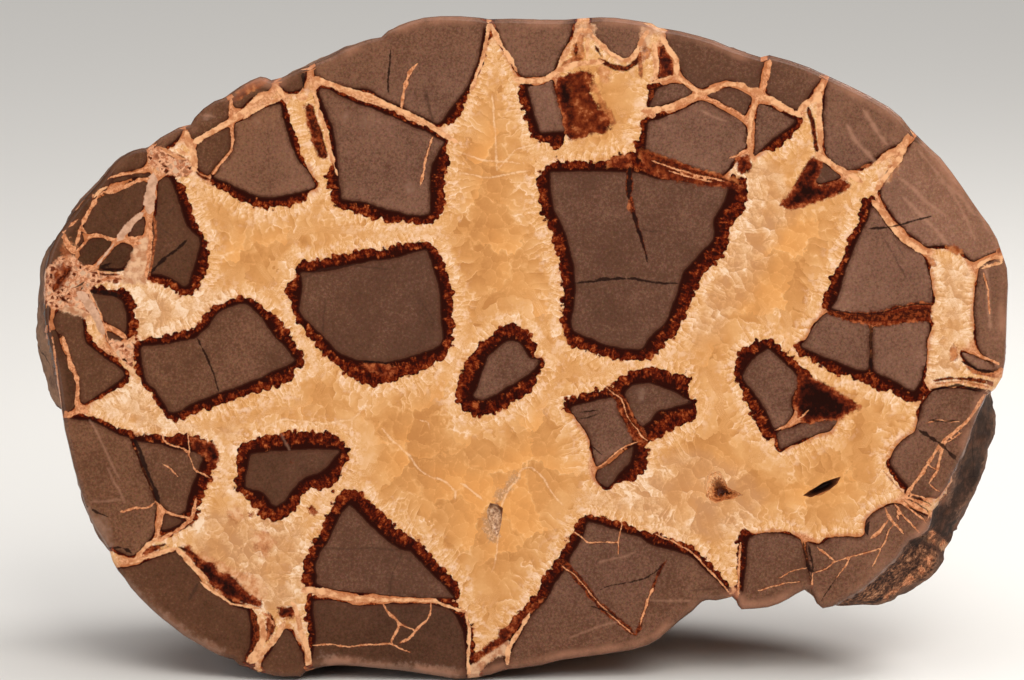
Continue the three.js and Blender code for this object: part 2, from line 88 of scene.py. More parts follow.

# %% [markdown]
# ## The mudstone blocks
# Each block starts with its shade, from 0 for dark to 1 for pale. After the bar
# comes its closed outline, written point by point, `u` before `v`. Where
# the mud had opened wide, a fringe of brown aragonite grew on the block's wall
# before the calcite came. Its outer line follows after a second bar, and a `/`
# starts a new piece of it. A wall without that line has only a thin dark edge.

# %% Shade, outline and fringe of each block
BLOCKS = {
    "A0": """0.53 | 100 172 112 158 128 146 143 142 146 152 147 162 140 168 125 172 113 176""",
    "A0b": """0.70 | 154 142 158 132 172 123 184 120 183 131 175 140 166 148 162 150""",
    "A0c": """0.64 | 188 122 193 110 203 100 214 92 228 88 228 105 229 118 220 124 205 133 193 140 189 135""",
    "A0d": """0.61 | 197 143 210 136 225 129 230 127 230 150 223 157 214 168 208 176 198 170 196 158""",
    "A0e": """0.60 | 230 90 240 78 252 70 266 68 270 76 272 88 264 92 252 97 243 107 234 108""",
    "A0f": """0.50 | 108 181 120 177 135 174 150 173 150 177 135 177 120 181 110 184""",
    "A1": """0.49 | 165 177 171 178 175 190 180 203 184 217 188 228 194 233 200 237 200 248 197 258 193 270
        189 285 184 288 178 283 170 278 160 275 150 273 151 260 152 240 153 222 157 213 158 200 158 183
        | 180 178 187 190 193 205 196 218 200 228 207 236 209 245 211 258 208 270 204 280 200 290 198
        302 190 304 180 302 175 295 168 289 158 284 148 282""",
    "A2": """0.46 | 143 181 148 183 146 192 144 200 143 210 136 215 129 222 124 229 119 236 113 238 106 238
        100 234 92 233 88 235 84 230 85 222 88 216 93 208 97 200 103 196 108 193 118 193 123 190 125
        184 133 181""",
    "A3": """0.40 | 144 216 145 225 143 235 136 236 128 236 131 230 137 222""",
    "A4": """0.27 | 86 242 90 239 98 238 107 240 113 242 107 249 100 257 93 264 84 267 77 262 81 257 79 249""",
    "A4b": """0.30 | 117 246 123 243 133 246 131 254 127 263 123 268 98 268 103 262 110 254""",
    "A5": """0.58 | 88 293 100 294 115 296 122 300 126 312 127 325 127 335 120 329 110 324 103 320 98 312 93
        303 | 88 283 104 285 120 287 / 135 290 137 305 138 320 138 330""",
    "A5b": """0.45 | 105 331 113 333 120 338 125 336 113 349 107 336""",
    "A6": """0.58 | 62 336 57 332 53 322 56 313 65 309 75 312 82 317 83 325 84 335 87 344 95 350 103 356 112
        362 120 368 126 374 122 379 115 384 107 390 98 395 90 400 84 405 80 400 79 385 75 370 70 358 66
        345 | 60 307 70 305 80 310 86 318 88 328 93 340 97 345 105 350 115 356 122 362 130 372 133 382
        128 385 118 392 105 398 95 400 85 407""",
    "A6b": """0.33 | 47 332 56 330 60 345 66 358 71 370 75 382 76 398 74 408 64 414 57 413 52 395 48 370 45
        348""",
    "B1": """0.83 | 235 124 245 120 255 113 270 106 281 103 284 120 290 140 298 160 306 168 312 178 316 185
        314 188 305 191 292 194 280 197 270 198 258 197 245 192 235 187 225 182 213 178 223 162 232 154
        234 140 | 205 183 215 187 225 192 232 197 240 203 250 207 262 209 275 208 295 208 298 203 308
        203 315 202 317 190 311 176 305 160 298 140 291 120 286 102""",
    "BT": """0.75 | 313 60 345 38 385 22 420 8 450 6 486 6 484 26 482 45 477 65 470 82 462 95 452 108 445
        118 438 125 428 120 412 112 403 107 393 103 380 97 370 90 355 88 340 85 325 80 315 76 | 490 42
        486 55 482 70 476 85 470 95 465 108 460 118 455 125 454 132 / 436 128 425 124 410 116 400 111
        390 107 378 101 368 95 352 91 338 88 324 83""",
    "B2": """0.74 | 320 88 330 90 345 98 358 104 370 107 380 112 395 117 405 123 418 128 430 133 440 139 445
        142 440 150 436 158 432 166 430 180 430 195 431 205 430 215 420 216 408 215 397 212 385 210 375
        206 365 203 352 201 341 200 340 190 338 178 337 160 336 150 333 130 325 110 319 95 | 319 172
        325 183 330 195 332 205 333 212 345 211 355 215 365 217 375 220 385 222 397 226 410 222 415 226
        425 226 432 224 438 221 445 218 447 212 445 205 448 200 445 190 446 180 446 170 449 165 454 160
        457 150 456 143 / 318 84 330 86 345 93 358 99 372 102 382 107 397 112 407 118 420 123 432 128
        442 135 / 314 100 320 115 327 132 330 150 331 162""",
    "B3": """0.56 | 300 272 312 272 325 271 340 268 355 264 370 261 385 259 400 257 410 253 420 250 427 249
        430 258 434 270 438 282 440 295 441 310 442 325 443 338 441 345 435 349 425 352 415 356 400 360
        385 363 370 362 360 361 350 358 342 355 335 350 330 344 320 334 312 326 303 318 298 310 300 298
        302 285 | 285 265 290 262 300 258 310 261 322 259 330 256 331 252 345 252 355 250 365 247 378
        248 390 247 400 242 410 241 420 240 430 239 437 240 440 248 443 256 446 265 449 275 452 285 455
        295 456 305 455 315 457 325 454 333 453 344 452 350 448 357 440 362 430 370 420 375 410 378 398
        380 393 388 385 392 375 395 368 391 360 386 352 380 345 375 337 370 332 363 325 358 318 352 314
        344 308 337 300 330 295 322 295 313 288 310 283 300 284 285 280 275""",
    "C": """0.65 | 143 346 155 345 170 343 185 340 196 338 200 333 208 326 214 317 222 310 232 306 240 303
        247 304 255 310 262 318 268 327 275 337 283 344 288 350 293 357 297 360 285 367 270 373 257 380
        245 384 232 389 220 393 205 399 190 405 180 411 170 413 168 412 165 405 160 398 155 390 148 385
        145 378 142 365 141 355 140 348 | 138 337 150 337 165 334 180 330 192 326 200 320 206 312 213
        306 220 302 228 298 240 295 250 296 256 300 262 304 275 315 285 325 295 337 297 345 305 352 308
        360 312 368 313 372 305 376 297 382 285 387 275 389 262 392 250 398 232 403 222 407 210 410 200
        413 190 418 180 421 168 424 166 420 160 410 155 402 148 392 140 382 135 372 133 360 131 345""",
    "D": """0.61 | 549 172 550 180 551 195 553 207 558 218 564 230 568 243 571 255 574 268 575 282 575 295
        573 310 571 322 572 330 578 334 590 338 600 343 615 347 628 350 643 349 650 337 657 331 663 326
        668 318 672 307 677 295 680 282 684 272 690 265 697 258 703 250 712 243 715 232 713 222 717 214
        722 206 727 196 730 186 715 186 700 184 680 181 660 179 645 175 633 172 625 172 600 171 575 171
        | 538 162 536 172 535 182 538 195 539 208 543 220 549 230 552 242 556 255 558 265 560 278 559
        290 561 305 559 318 561 328 563 340 568 347 575 350 585 352 595 356 605 358 615 361 625 363 635
        362 650 362 655 357 660 350 667 345 675 337 683 328 688 315 690 305 697 295 701 285 705 275 712
        268 722 260 728 250 730 242 732 232 738 222 745 212 747 200 753 192 752 185 / 632 150 624 149
        615 153 605 158 595 161 575 161 555 161""",
    "E": """0.70 | 502 344 510 340 520 342 524 348 529 357 541 361 535 369 527 376 518 382 508 387 492 397
        483 401 475 400 472 395 477 388 480 378 484 365 487 357 495 350 | 490 335 500 322 510 320 518
        322 528 325 533 338 541 345 550 351 560 351 563 355 557 360 548 365 543 370 540 380 537 388 530
        393 522 402 515 406 508 408 500 412 492 415 485 421 480 420 470 415 460 410 454 404 452 397 455
        388 458 377 462 365 465 357 470 349 480 342""",
    "F": """0.50 | 822 162 831 169 842 177 830 181 820 184 814 180 818 170""",
    # G, H and H2 are pale partly by their own tone and partly by a painted sheen of light near the upper right
    # edge.
    "G": """0.82 | 871 206 868 218 863 228 857 240 853 252 847 265 843 278 840 290 835 302 830 308 840 313
        860 313 880 312 895 307 910 304 932 303 932 290 931 280 928 270 926 260 920 253 910 248 900 241
        893 233 886 225 880 215 874 207 | 866 190 858 205 857 220 852 230 847 240 843 252 838 262 832
        272 827 285 822 295 812 305 808 310""",
    "H": """0.92 | 893 170 905 152 915 140 925 122 965 150 1000 200 1025 240 1000 249 985 256 973 262 962
        252 945 246 925 246 918 240 908 233 898 222 890 212 882 200 880 190 884 180""",
    "H2": """0.79 | 978 268 985 263 1003 258 1025 262 1025 378 1000 370 990 362 979 350 976 340 976 330 974
        310 975 295 978 280""",
    "I": """0.74 | 829 312 840 318 855 322 869 325 870 345 869 370 862 371 850 368 835 361 820 356 806 349
        800 347 806 340 813 328 820 318 | 785 344 788 350 795 353 805 358 815 363 823 370 835 375 845
        378 858 382 867 385""",
    "I2": """0.81 | 873 326 890 325 905 323 920 321 929 321 930 333 926 342 927 352 926 362 923 372 920 383
        915 392 908 390 897 383 885 377 873 372 872 350 | 867 385 875 390 885 392 897 397 905 402 912
        405 918 402""",
    "J": """0.68 | 62 419 75 419 88 420 98 423 108 429 118 434 130 438 133 447 137 457 144 474 153 495 157
        506 155 518 154 533 149 540 142 548 134 555 128 556 120 552 110 547 95 552 70 505 52 455 48 419
        | 88 415 100 418 110 420 118 426 130 430""",
    "K": """0.66 | 135 440 150 443 160 444 170 447 182 450 195 452 203 455 203 460 200 468 197 475 192 487
        188 497 186 512 178 515 168 511 162 505 155 495 147 474 139 457 | 130 430 145 432 160 433 175
        431 190 434 200 436 210 440 218 442 222 445 222 460 215 466 214 477 209 486 205 495 200 505 198
        517""",
    "K2": """0.50 | 165 513 175 517 185 521 180 524 170 529 163 531 160 530 163 520 | 198 517 186 528 175
        534 170 537""",
    "L": """0.52 | 250 454 270 451 290 450 310 449 330 449 341 450 338 455 333 460 328 467 320 473 305 478
        298 483 293 490 288 497 283 503 275 507 270 503 267 497 262 492 252 490 245 488 246 475 248 465
        | 235 445 242 440 252 438 262 436 275 434 285 431 300 430 315 431 330 431 338 434 345 438 349
        445 351 452 350 460 346 468 345 475 342 482 337 488 330 490 322 492 310 490 303 495 300 505 297
        515 290 517 285 520 275 524 267 526 262 520 257 512 248 508 236 505 231 497 233 485 236 470 236
        455""",
    "M": """0.57 | 350 504 358 513 365 520 372 527 380 534 388 540 396 546 402 550 410 550 415 556 422 563
        430 571 438 580 445 585 450 591 455 598 440 598 410 597 375 594 345 591 319 586 315 583 317 575
        315 565 318 557 322 548 328 540 333 530 338 520 342 512 | 335 490 342 484 350 483 357 487 362
        492 368 498 375 507 385 512 390 520 398 527 405 533 415 537 422 540 427 547 430 553 437 560 445
        568 452 575 458 582 463 590 467 598 / 330 506 326 515 322 525 318 533 312 540 310 548 306 556
        302 565 301 575 302 584""",
    "N": """0.70 | 570 407 580 404 590 402 600 399 612 397 617 400 618 408 621 416 626 425 632 432 634 440
        630 445 620 450 612 457 602 464 596 467 594 455 592 445 588 435 583 427 577 418 570 411 | 563
        400 570 393 580 393 590 389 600 387 607 385""",
    "N2": """0.53 | 597 470 605 467 612 462 620 455 633 445 633 455 631 462 625 468 618 475 613 482 608 488
        600 483 596 480 | 649 443 650 455 648 465 651 471 643 473 638 480 630 485 625 490 625 498 615
        499 608 490""",
    "O": """0.60 | 625 392 632 385 640 383 650 383 660 386 672 390 680 395 692 402 682 405 670 409 660 410
        655 414 652 420 642 428 638 422 632 412 628 402 624 396 | 612 380 622 375 630 368 640 365 650
        367 660 368 665 371 675 371 682 366 690 364 697 368 706 368 709 375 711 385 718 392 724 398 722
        405 722 413 715 420 708 421 700 420 690 424 682 426 678 430 670 432 665 440 655 441""",
    "P": """0.72 | 768 348 775 354 783 361 791 369 798 376 799 383 796 390 792 397 791 405 793 413 790 420
        785 425 774 430 770 422 766 412 760 402 753 392 747 385 742 377 743 373 748 365 755 357 762 352
        | 752 340 755 338 763 334 772 339 780 344 785 350 795 358 805 365 815 372 / 768 458 766 453 764
        447 762 440 757 430 751 422 749 412 745 404 741 395 738 385 733 377 728 370 730 360 737 352 745
        346""",
    "P2": """0.63 | 776 432 790 428 800 424 815 422 830 420 838 420 833 428 830 431 820 433 810 437 800 440
        790 445 780 450 778 440""",
    "Q": """0.72 | 932 391 945 389 957 388 972 390 989 394 985 408 978 424 972 440 966 456 958 470 948 484
        938 496 925 497 914 500 907 495 909 488 902 480 896 473 890 463 894 450 903 440 916 431 919 418
        922 404 | 886 468 893 479 903 492""",
    "T": """0.40 | 316 600 330 600 345 603 357 606 375 605 395 604 430 604 445 607 453 612 458 620 462 628
        465 640 466 655 466 665 470 695 400 695 308 695 312 668 313 650 316 640 315 630 313 615 312 601
        | 304 598 304 615 305 630 308 645 309 658 / 458 604 466 613 472 622 478 634 475 648""",
    "S": """0.55 | 138 566 150 560 165 555 176 551 180 553 186 562 192 570 198 576 203 585 210 590 218 595
        225 600 232 605 240 608 248 610 250 618 251 630 251 640 249 650 245 657 243 680 222 680 170 640
        120 590 110 572 125 568 | 244 604 254 608 259 618 259 632 257 645 252 656""",
    "S3": """0.56 | 285 628 292 633 298 645 303 655 305 668 305 695 270 695 262 663 268 655 275 645 281 636""",
    "U": """0.68 | 587 521 595 523 605 526 615 529 625 533 640 537 650 544 660 547 675 551 685 554 693 558
        700 565 710 574 718 581 725 590 730 597 742 612 705 625 650 668 580 680 507 695 508 665 510 655
        513 648 518 638 525 626 530 617 538 608 545 600 550 592 555 583 562 573 568 565 570 557 576 548
        580 540 585 530 | 576 520 582 515 590 512 597 514 605 517 615 520 625 521 632 525 640 528 650
        529 660 532 670 538 680 541 688 542 697 547 703 555 712 562 718 568 725 577 730 583 735 597 /
        572 530 568 538 563 546 557 550 553 560 548 568 543 577 538 587 533 595 528 600 521 609 515 615
        510 622 505 630 500 640""",
    "W": """0.68 | 748 538 755 535 765 533 775 533 785 534 795 537 801 540 803 548 806 560 808 570 810 580
        811 587 815 605 800 625 742 628 738 606 740 598 743 590 745 575 746 560 747 548 | 735 542 737
        550 736 560 737 570 735 580 734 595""",
    "X": """0.75 | 806 541 818 545 822 544 827 540 833 537 850 537 858 538 865 535 866 524 868 518 873 513
        880 509 893 504 902 505 915 510 927 517 933 524 932 533 925 541 914 547 905 553 930 560 900 590
        850 625 820 628 815 603 811 587 808 560""",
    "TM1": """0.81 | 494 8 575 8 573 24 570 38 563 50 557 62 553 72 545 76 530 77 520 76 513 66 506 52 500 40
        496 24""",
    "SG": """0.87 | 527 86 540 86 552 79 558 100 562 118 566 132 540 133 535 118 531 103 | 513 82 517 92 521
        105 525 120 529 133 534 143 540 142""",
    "TM2": """0.77 | 590 8 650 8 646 28 641 40 635 52 628 60 619 57 609 50 600 41 592 31""",
    "TR1": """0.60 | 659 48 666 56 672 66 672 76 660 79 657 64 | 656 45 655 60 656 74 / 664 50 672 60 674 70""",
    "TR2": """0.68 | 657 88 672 84 683 84 694 92 686 97 670 102 658 107 649 107 653 96 | 647 86 645 96 644
        104""",
    "TR3": """0.80 | 648 121 660 119 675 113 690 106 702 100 712 105 725 112 738 119 745 125 747 135 746 148
        739 153 734 160 729 169 720 177 705 172 690 166 672 160 655 155 645 150 646 135 | 639 118 637
        132 633 147""",
    "TR4": """0.59 | 666 20 705 22 745 36 763 46 764 60 761 76 757 91 748 87 738 83 728 80 716 82 706 87 700
        89 692 83 684 77 680 66 676 56 668 46""",
    "TR5": """0.62 | 706 95 716 90 728 87 741 91 752 97 748 107 744 116 735 110 722 103""",
    "TR6": """0.62 | 771 50 800 54 826 68 820 80 812 91 806 101 800 111 790 107 778 100 767 93 767 80 769 62""",
    "TRt": """0.73 | 758 104 770 107 785 115 797 121 790 127 780 134 770 142 761 150 754 157 755 140 756 122
        | 803 118 805 124 800 131 792 138 782 146 775 155 766 162 758 163 754 155 754 145""",
    "TR7": """0.75 | 826 88 834 70 870 85 905 105 925 125 908 137 900 144 888 149 877 157 868 163 860 168 850
        171 842 168 833 162 826 155 824 135 823 115""",
    "T0": """0.60 | 280 72 300 60 308 58 305 75 303 88 293 91 286 92 280 83""",
    "H3": """0.90 | 961 352 970 354 980 358 990 363 1000 369 991 372 980 370 972 366 965 360""",
    "V1": """0.50 | 476 695 480 674 485 667 491 661 498 656 503 654 505 664 504 695""",
    "L2": """0.28 | 38 298 46 302 50 306 49.5 315 49 324 46 329 38 331""",
    "L1": """0.35 | 98 168 112 172 113 178 106 190 97 196 90 205 84 218 81 232 84 240 76 250 74 262 60 262
        48 268 30 270 28 240 60 200 85 172""",
}
print(len(BLOCKS), "mudstone blocks")

# %% [markdown]
# ## The thin lines
# Narrow cracks cross the blocks. Some healed with cream or tan calcite between
# two dark edges, some only rusted, and some stayed open and look black. Each
# line starts with its width in drawing units, and `>` before a second number
# lets it taper. Bars set the lines apart.

# %% Centre lines of veins and cracks
VEINS = {
    "pale": """
        11>12 153 174 152 184 150 194 149 205 150 214 | 7>8 143 213 136 218 130 225 123 233 117 241 | 4
        114 244 105 255 96 266 | 10>8 78 292 86 300 93 311 99 323 104 334""",
    "cream": """
        7 186 131 188 143 193 150 195 160 194 172 | 6 193 143 203 137 216 129 230 122 240 114 247 109
        255 100 262 94 275 95 | 4 243 119 253 111 262 107 282 98 | 4 158 147 167 151 176 157 186 160 |
        4 176 149 182 152 189 156 | 4 94 198 100 190 108 187 | 5 272 80 285 97 | 8 296 96 300 98 308 96
        | 4.5 313 80 315 95 319 110 324 125 329 145 334 165 337 176 | 6>5 313 78 325 82 340 88 355 92
        372 97 380 102 390 106 400 110 415 117 430 125 443 134 458 143 | 4 489 22 487 40 482 60 475 80
        470 92 | 5 490 22 498 40 508 55 517 72 | 6 512 79 525 81 538 81 550 77 556 72 565 68 577 64 590
        62 604 62 | 5 582 28 573 42 566 54 558 66 | 5 592 34 600 44 612 54 625 61 632 59 637 50 642 40
        648 30 | 7 578 30 592 31 | 4.5 588 38 588 48 586 58 | 6 653 42 656 60 656 78 | 6 661 35 668 48
        677 59 677 76 | 5 677 76 690 86 703 95 | 4 648 84 662 80 674 76 | 7>5 641 111 655 111 670 107
        685 100 700 95 712 90 722 86 | 6 722 85 732 83.5 742 85 750 90 762 91 | 5 757 100 752 112 750
        130 749 148 755 162 | 6 755 93 775 102 795 113 802 117 | 7 823 82 818 95 808 103 798 111 | 6
        820 92 819 118 820 135 821 150 | 6 816 152 825 160 835 166 845 172 863 182 | 7 910 133 905 143
        897 150 886 155 876 164 | 5 909 138 903 152 896 165 885 178 873 194 | 6 872 200 878 208 886 218
        893 228 901 237 910 244 918 249 927 254 | 5 974 268 982 263 990 259 1006 255 | 3.5 982 268 992
        265 1003 263 | 8>4 301 591 315 590 330 593 345 598 360 599 375 600 | 4>3 375 600 410 600 435
        601 452 608 468 612 | 5 134 560 142 551 150 543 157 538 | 5 130 564 145 558 160 553 176 548 |
        6>5 176 549 185 557 192 566 202 575 209 581 | 3 200 581 208 589 220 596 232 604 245 606 262 609
        | 7>6 259 616 263 628 263 640 256 652 247 662 | 6 285 622 277 636 267 649 250 664 | 5>7 291 602
        297 612 300 628 306 645 309 656 309 670 | 4 466 612 469 628 469 645 468 660 470 678 | 4.5 530
        613 520 630 512 643 505 655 | 5>3 508 645 508 660 506 676""",
    "tan": """
        3 104 180 112 177 122 174 135 173 150 166 | 4.5 99 191 108 192 120 190 130 184 140 180 150 178
        | 5 86 197 96 196 104 192 | 4 84 200 77 206 73 212 | 5 98 197 91 208 86 216 82 226 | 3 81 226
        78 238 76 246 | 3 82 226 86 234 | 2.5 66 228 75 222 78 219 | 6 61 232 66 241 72 249 76 254 | 4
        76 252 82 246 87 240 | 4 87 238 95 235 104 237 110 239 118 240 | 3.5 128 237 136 238 144 237 |
        4 124 240 133 244 141 244 | 3 82 267 92 266 97 268 | 2.5 97 266 99 276 | 3 52 336 54 350 57 378
        60 405 62 417 | 2 88 289 94 301 100 314 105 326 108 342 | 5 104 324 112 328 127 338 | 4.5 62
        336 67 350 70 362 75 373 78 385 77 395 76 405 84 408 | 4 62 417 80 412 90 412 | 5 149 222 151
        235 150 248 148 262 146 278 | 3 231 97 231 108 230 118 | 3.5 232 124 232 140 231 152 223 160
        213 174 | 3 433 137 428 150 425 163 423 176 421 185 | 4 418 63 410 72 405 85 402 100 402 108 |
        2.5 124 511 135 508 145 509 152 506 156 501 | 5 121 512 126 511 | 4 157 501 163 510 160 525 156
        538 | 3 163 510 175 515 193 519 | 2 162 433 163 441 172 445 182 448 188 452 191 462 195 470 203
        474 210 478 | 1.5 188 433 190 452 | 1.5 162 463 170 468 178 477 | 4 196 498 193 518 180 529 165
        537 157 541 | 2.5 262 612 270 618 274 626 | 1.2 606 387 613 393 620 397 624 405 627 415 632 423
        638 430 641 436 648 441 | 1.4 596 468 605 463 612 456 620 450 630 444 638 442 | 1.6 775 430 785
        427 792 423 800 418 809 410 | 3 383 604 388 612 395 619 399 622 398 628 394 636 391 643 | 2.5
        399 622 405 627 415 630 | 3 431 603 431 612 428 620 420 625 415 632 410 638 400 643 | 2 313 645
        330 644 350 647 365 645 391 643 400 649 410 652 | 3.5 986 392 980 402 973 413 966 423 955 432
        944 440 936 451 929 462 922 473 915 483 904 498 | 2.5 946 441 943 448 941 456 938 468 934 476
        929 484 | 1.5 962 433 954 438 947 442 | 1.5 926 462 933 468 938 470 | 1.5 929 484 936 490 942
        492 | 3 898 500 910 504 922 509 932 516 940 528 946 541 | 2.5 903 497 916 500 928 505 938 514 |
        2.5 901 503 914 512 925 520 931 530 | 2 895 504 903 515 914 527 922 536 | 2 909 494 922 497 934
        503 | 2.5 933 520 932 532 924 540 916 546 | 1.5 926 423 938 420 950 422 959 421 | 2.2 817 547
        825 553 835 561 | 1.4 815 573 826 569 834 562 850 557 862 554 872 551 881 548 | 2>1.1 850 559
        845 567 840 573 836 579 | 1.5 882 547 886 540 889 531 895 523 | 2.5 885 508 888 516 895 523 903
        534 | 3 889 519 883 527 878 533 870 539 | 2.5 899 507 897 513 899 520 | 1.2 881 549 877 558 872
        567 | 1.3 780 578 792 571 800 569 808 567 | 1.1 758 590 775 586 785 583 800 582 | 2 813 573 812
        582 813 589 | 2.5 741 542 739 560 738 597 | 1.5 573 531 580 536 588 543 600 542 617 543 | 1.3
        622 521 620 533 618 545 618 555 | 1.8 655 534 672 541 688 549 700 561 715 576 733 597 | 1.4 562
        566 574 574 583 584 592 595 601 606 612 616 622 625 633 634 | 2.5 640 625 644 612 648 600 653
        588 | 2 652 161 672 168 700 176 724 181 | 1.5 668 171 690 177 712 182 | 3 700 96 715 102 735
        111 748 119 | 3 747 150 738 155 729 158 | 2 40 336 45 365 43 375 | 2.5 970 350 982 356 995 362
        1003 366 | 5 770 58 768 75 763 93 | 1.5 940 383 955 382 970 384 990 389 | 2 983 272 988 290 990
        315""",
    "rust": """
        3 154 216 156 235 154 250 150 275 | 4 860 168 872 165 | 4 629 199 629 212 | 3 100 280 112 278
        122 279 | 6 562 66 572 60 582 58 | 5 966 366 975 372 985 374 997 376 | 3 935 384 950 382 968
        382 990 388 | 5 640 52 640 65 641 78 | 4 268 612 270 625 266 640 | 1.8 883 471 893 482 903 493
        | 1.5 249 516 251 517 | 1.5 266 533 268 533 | 1.3 240 548 242 549 | 1.2 222 540 223 541 | 1.3
        258 556 260 556""",
    "brown": """
        8 629 168 629 180 629 198 | 6>2 630 196 633 212 638 228 643 243 647 258 | 9>6 557 560 565 564
        582 583 600 606 620 622 636 636 | 5>3 636 636 640 625 644 612 648 600 653 588 657 575 662 566
        667 560 | 7 252 612 257 625 257 640 252 652 246 660 | 4 178 547 190 552 197 560 203 568 | 5 195
        521 180 529 165 536 158 540 | 9>7 308 104 314 120 320 138 325 157 | 6>5 808 107 812 120 814 132
        816 145 819 156 | 8>9 828 312 850 316 870 318 900 316 930 312 | 7 606 387 613 393 624 405 632
        423 641 436 648 441 | 6 599 59 612 67 628 69 637 61 641 52 | 5 576 44 576 56 | 5 595 46 602 56
        | 6 664 44 661 58 | 6 652 88 650 100 | 3 933 381 950 378 967 379 980 382 995 386 | 3 969 377
        980 380 994 382 | 5 150 548 165 544 | 6>5 71 267 64 276 57 284 54 292 | 4 60 297 64 300 68 302
        | 2.5 92 272 106 275 120 274 | 5 180 156 186 161 | 3 168 154 178 159 | 4 163 166 168 167 | 3
        195 172 203 178 212 180 | 6 270 614 272 628 268 636 | 2.5 640 151 660 160 690 171 720 178 738
        184""",
    "black": """
        1.8 74 288 80 285 85 282 | 2 80 290 84 286 | 2.2 87 285 88 285 | 2 55 276 56 276 | 1.6 828 309
        850 313 870 314 890 311 908 305 932 304 | 1.4 907 499 917 503 927 510 935 519 | 1.2 904 501 913
        509 923 517 930 527 | 1.2 914 497 926 502 936 509 | 3.5 187 240 176 250 165 258 157 266 151 273
        | 4 97 269 110 270 124 270 | 5 90 291 105 292 122 296 | 2.5 391 50 390 65 388 80 388 93 | 2.5
        197 338 203 350 210 365 215 378 219 392 | 2.5 362 361 375 362 390 363 | 2.4 574 283 588 282 604
        280 620 278.5 636 279 650 282 664 283 678 284 | 4>2.6 595 279.5 608 279 622 278 634 278.5 646
        281 656 284 | 5.5 629.5 166 629 180 629 199 | 4.5>1.8 633 212 637 226 641 238 644 248 648 263 |
        3 871 324 871 345 871 372 | 5 134 439 139 449 143 461 152 482 160 504 | 1.5 580 413 598 410 |
        1.5 580 419 590 417 600 413 | 1.5 592 446 602 455 | 4 930 389 945 388 957 385 970 388 993 393 |
        3.5 962 361 972 367 982 371 994 372 | 4 918 429 928 436 938 442 947 450 958 461 | 1.5 600 590
        612 585 632 582 645 578 655 572 662 566 | 3 803 541 805 552 808 567 812 573 | 2 809 545 811 558
        814 572 | 1.8>1 836 579 825 595 818 606 | 3 85 506 95 511 108 517 | 2.2 868 229 890 227 910 222
        932 216 | 3 303 72 304 88 | 3.5 108 549 120 547 132 553 | 4 870 522 866 530 868 536 | 2 930 420
        945 422 958 420 | 1.6 590 606 606 611 620 620 | 2 112 263 100 266""",
    "faint": """
        1.5 90 420 98 435 105 450 112 465 119 478 | 1.5 107 468 113 480 120 492 125 502 | 1.5 90 502
        120 500 | 2 281 434 289 450 | 1.5 570 638 585 632 600 626 620 621 | 1.5 600 562 625 556 635 552
        | 1.5 650 601 690 601 | 3 200 114 215 117 | 5 847 125 853 137 862 147 878 165 | 5 863 110 870
        120 878 133 887 145 | 5>3 900 178 915 190 930 205 945 215 | 4 940 180 960 195 975 215 | 4 955
        160 980 190 995 225 | 4 903 197 918 212 936 230 948 244 | 2.5 925 135 950 165 975 200 990 235 |
        2 918 150 945 182 965 215 975 240 | 4 985 262 988 290 990 330 | 2.5 700 110 712 116 726 121""",
    "dusk": """
        1.5 322 548 345 549 370 548 400 550 | 1.8 390 598 390 585 392 572 398 562 402 553 | 1.5 100 208
        110 222 118 232 | 1.5 122 195 118 205 | 2 885 240 893 255 905 275 | 2 893 238 905 258 | 1.5 585
        300 590 290 | 2 640 228 652 232 662 231 | 2.5 166 214 175 207 | 1.5 160 228 170 235 | 5>3 199
        582 194 591 188 602 | 3 425 90 430 110 434 128 | 1.5 300 280 320 270 350 265 390 270 | 1.5 420
        300 435 322 | 1.5 325 300 323 335 | 1.5 690 590 720 588""",
    "seam": """
        2 382 428 390 438 400 447 410 455 415 465 422 472 432 478 440 479 450 485 456 492 455 502 | 1.5
        368 400 362 410 352 420 350 435 | 2 352 419 325 424 300 421 283 419 275 422 262 430 | 2 460 484
        470 488 477 495 483 500 | 1.5 420 420 429 422 430 430 | 1.5 498 530 497 550 495 565 492 572 | 2
        562 505 550 490 545 480 538 472 530 467 520 470 518 480 510 487 505 497 500 510 | 2 492 95 495
        130 497 170 | 1.6 455 150 480 160 520 163 | 1.6 458 172 490 178 530 170 | 1.5 497 170 515 150
        535 144""",
}
print(len(VEINS), "kinds of veins and cracks")
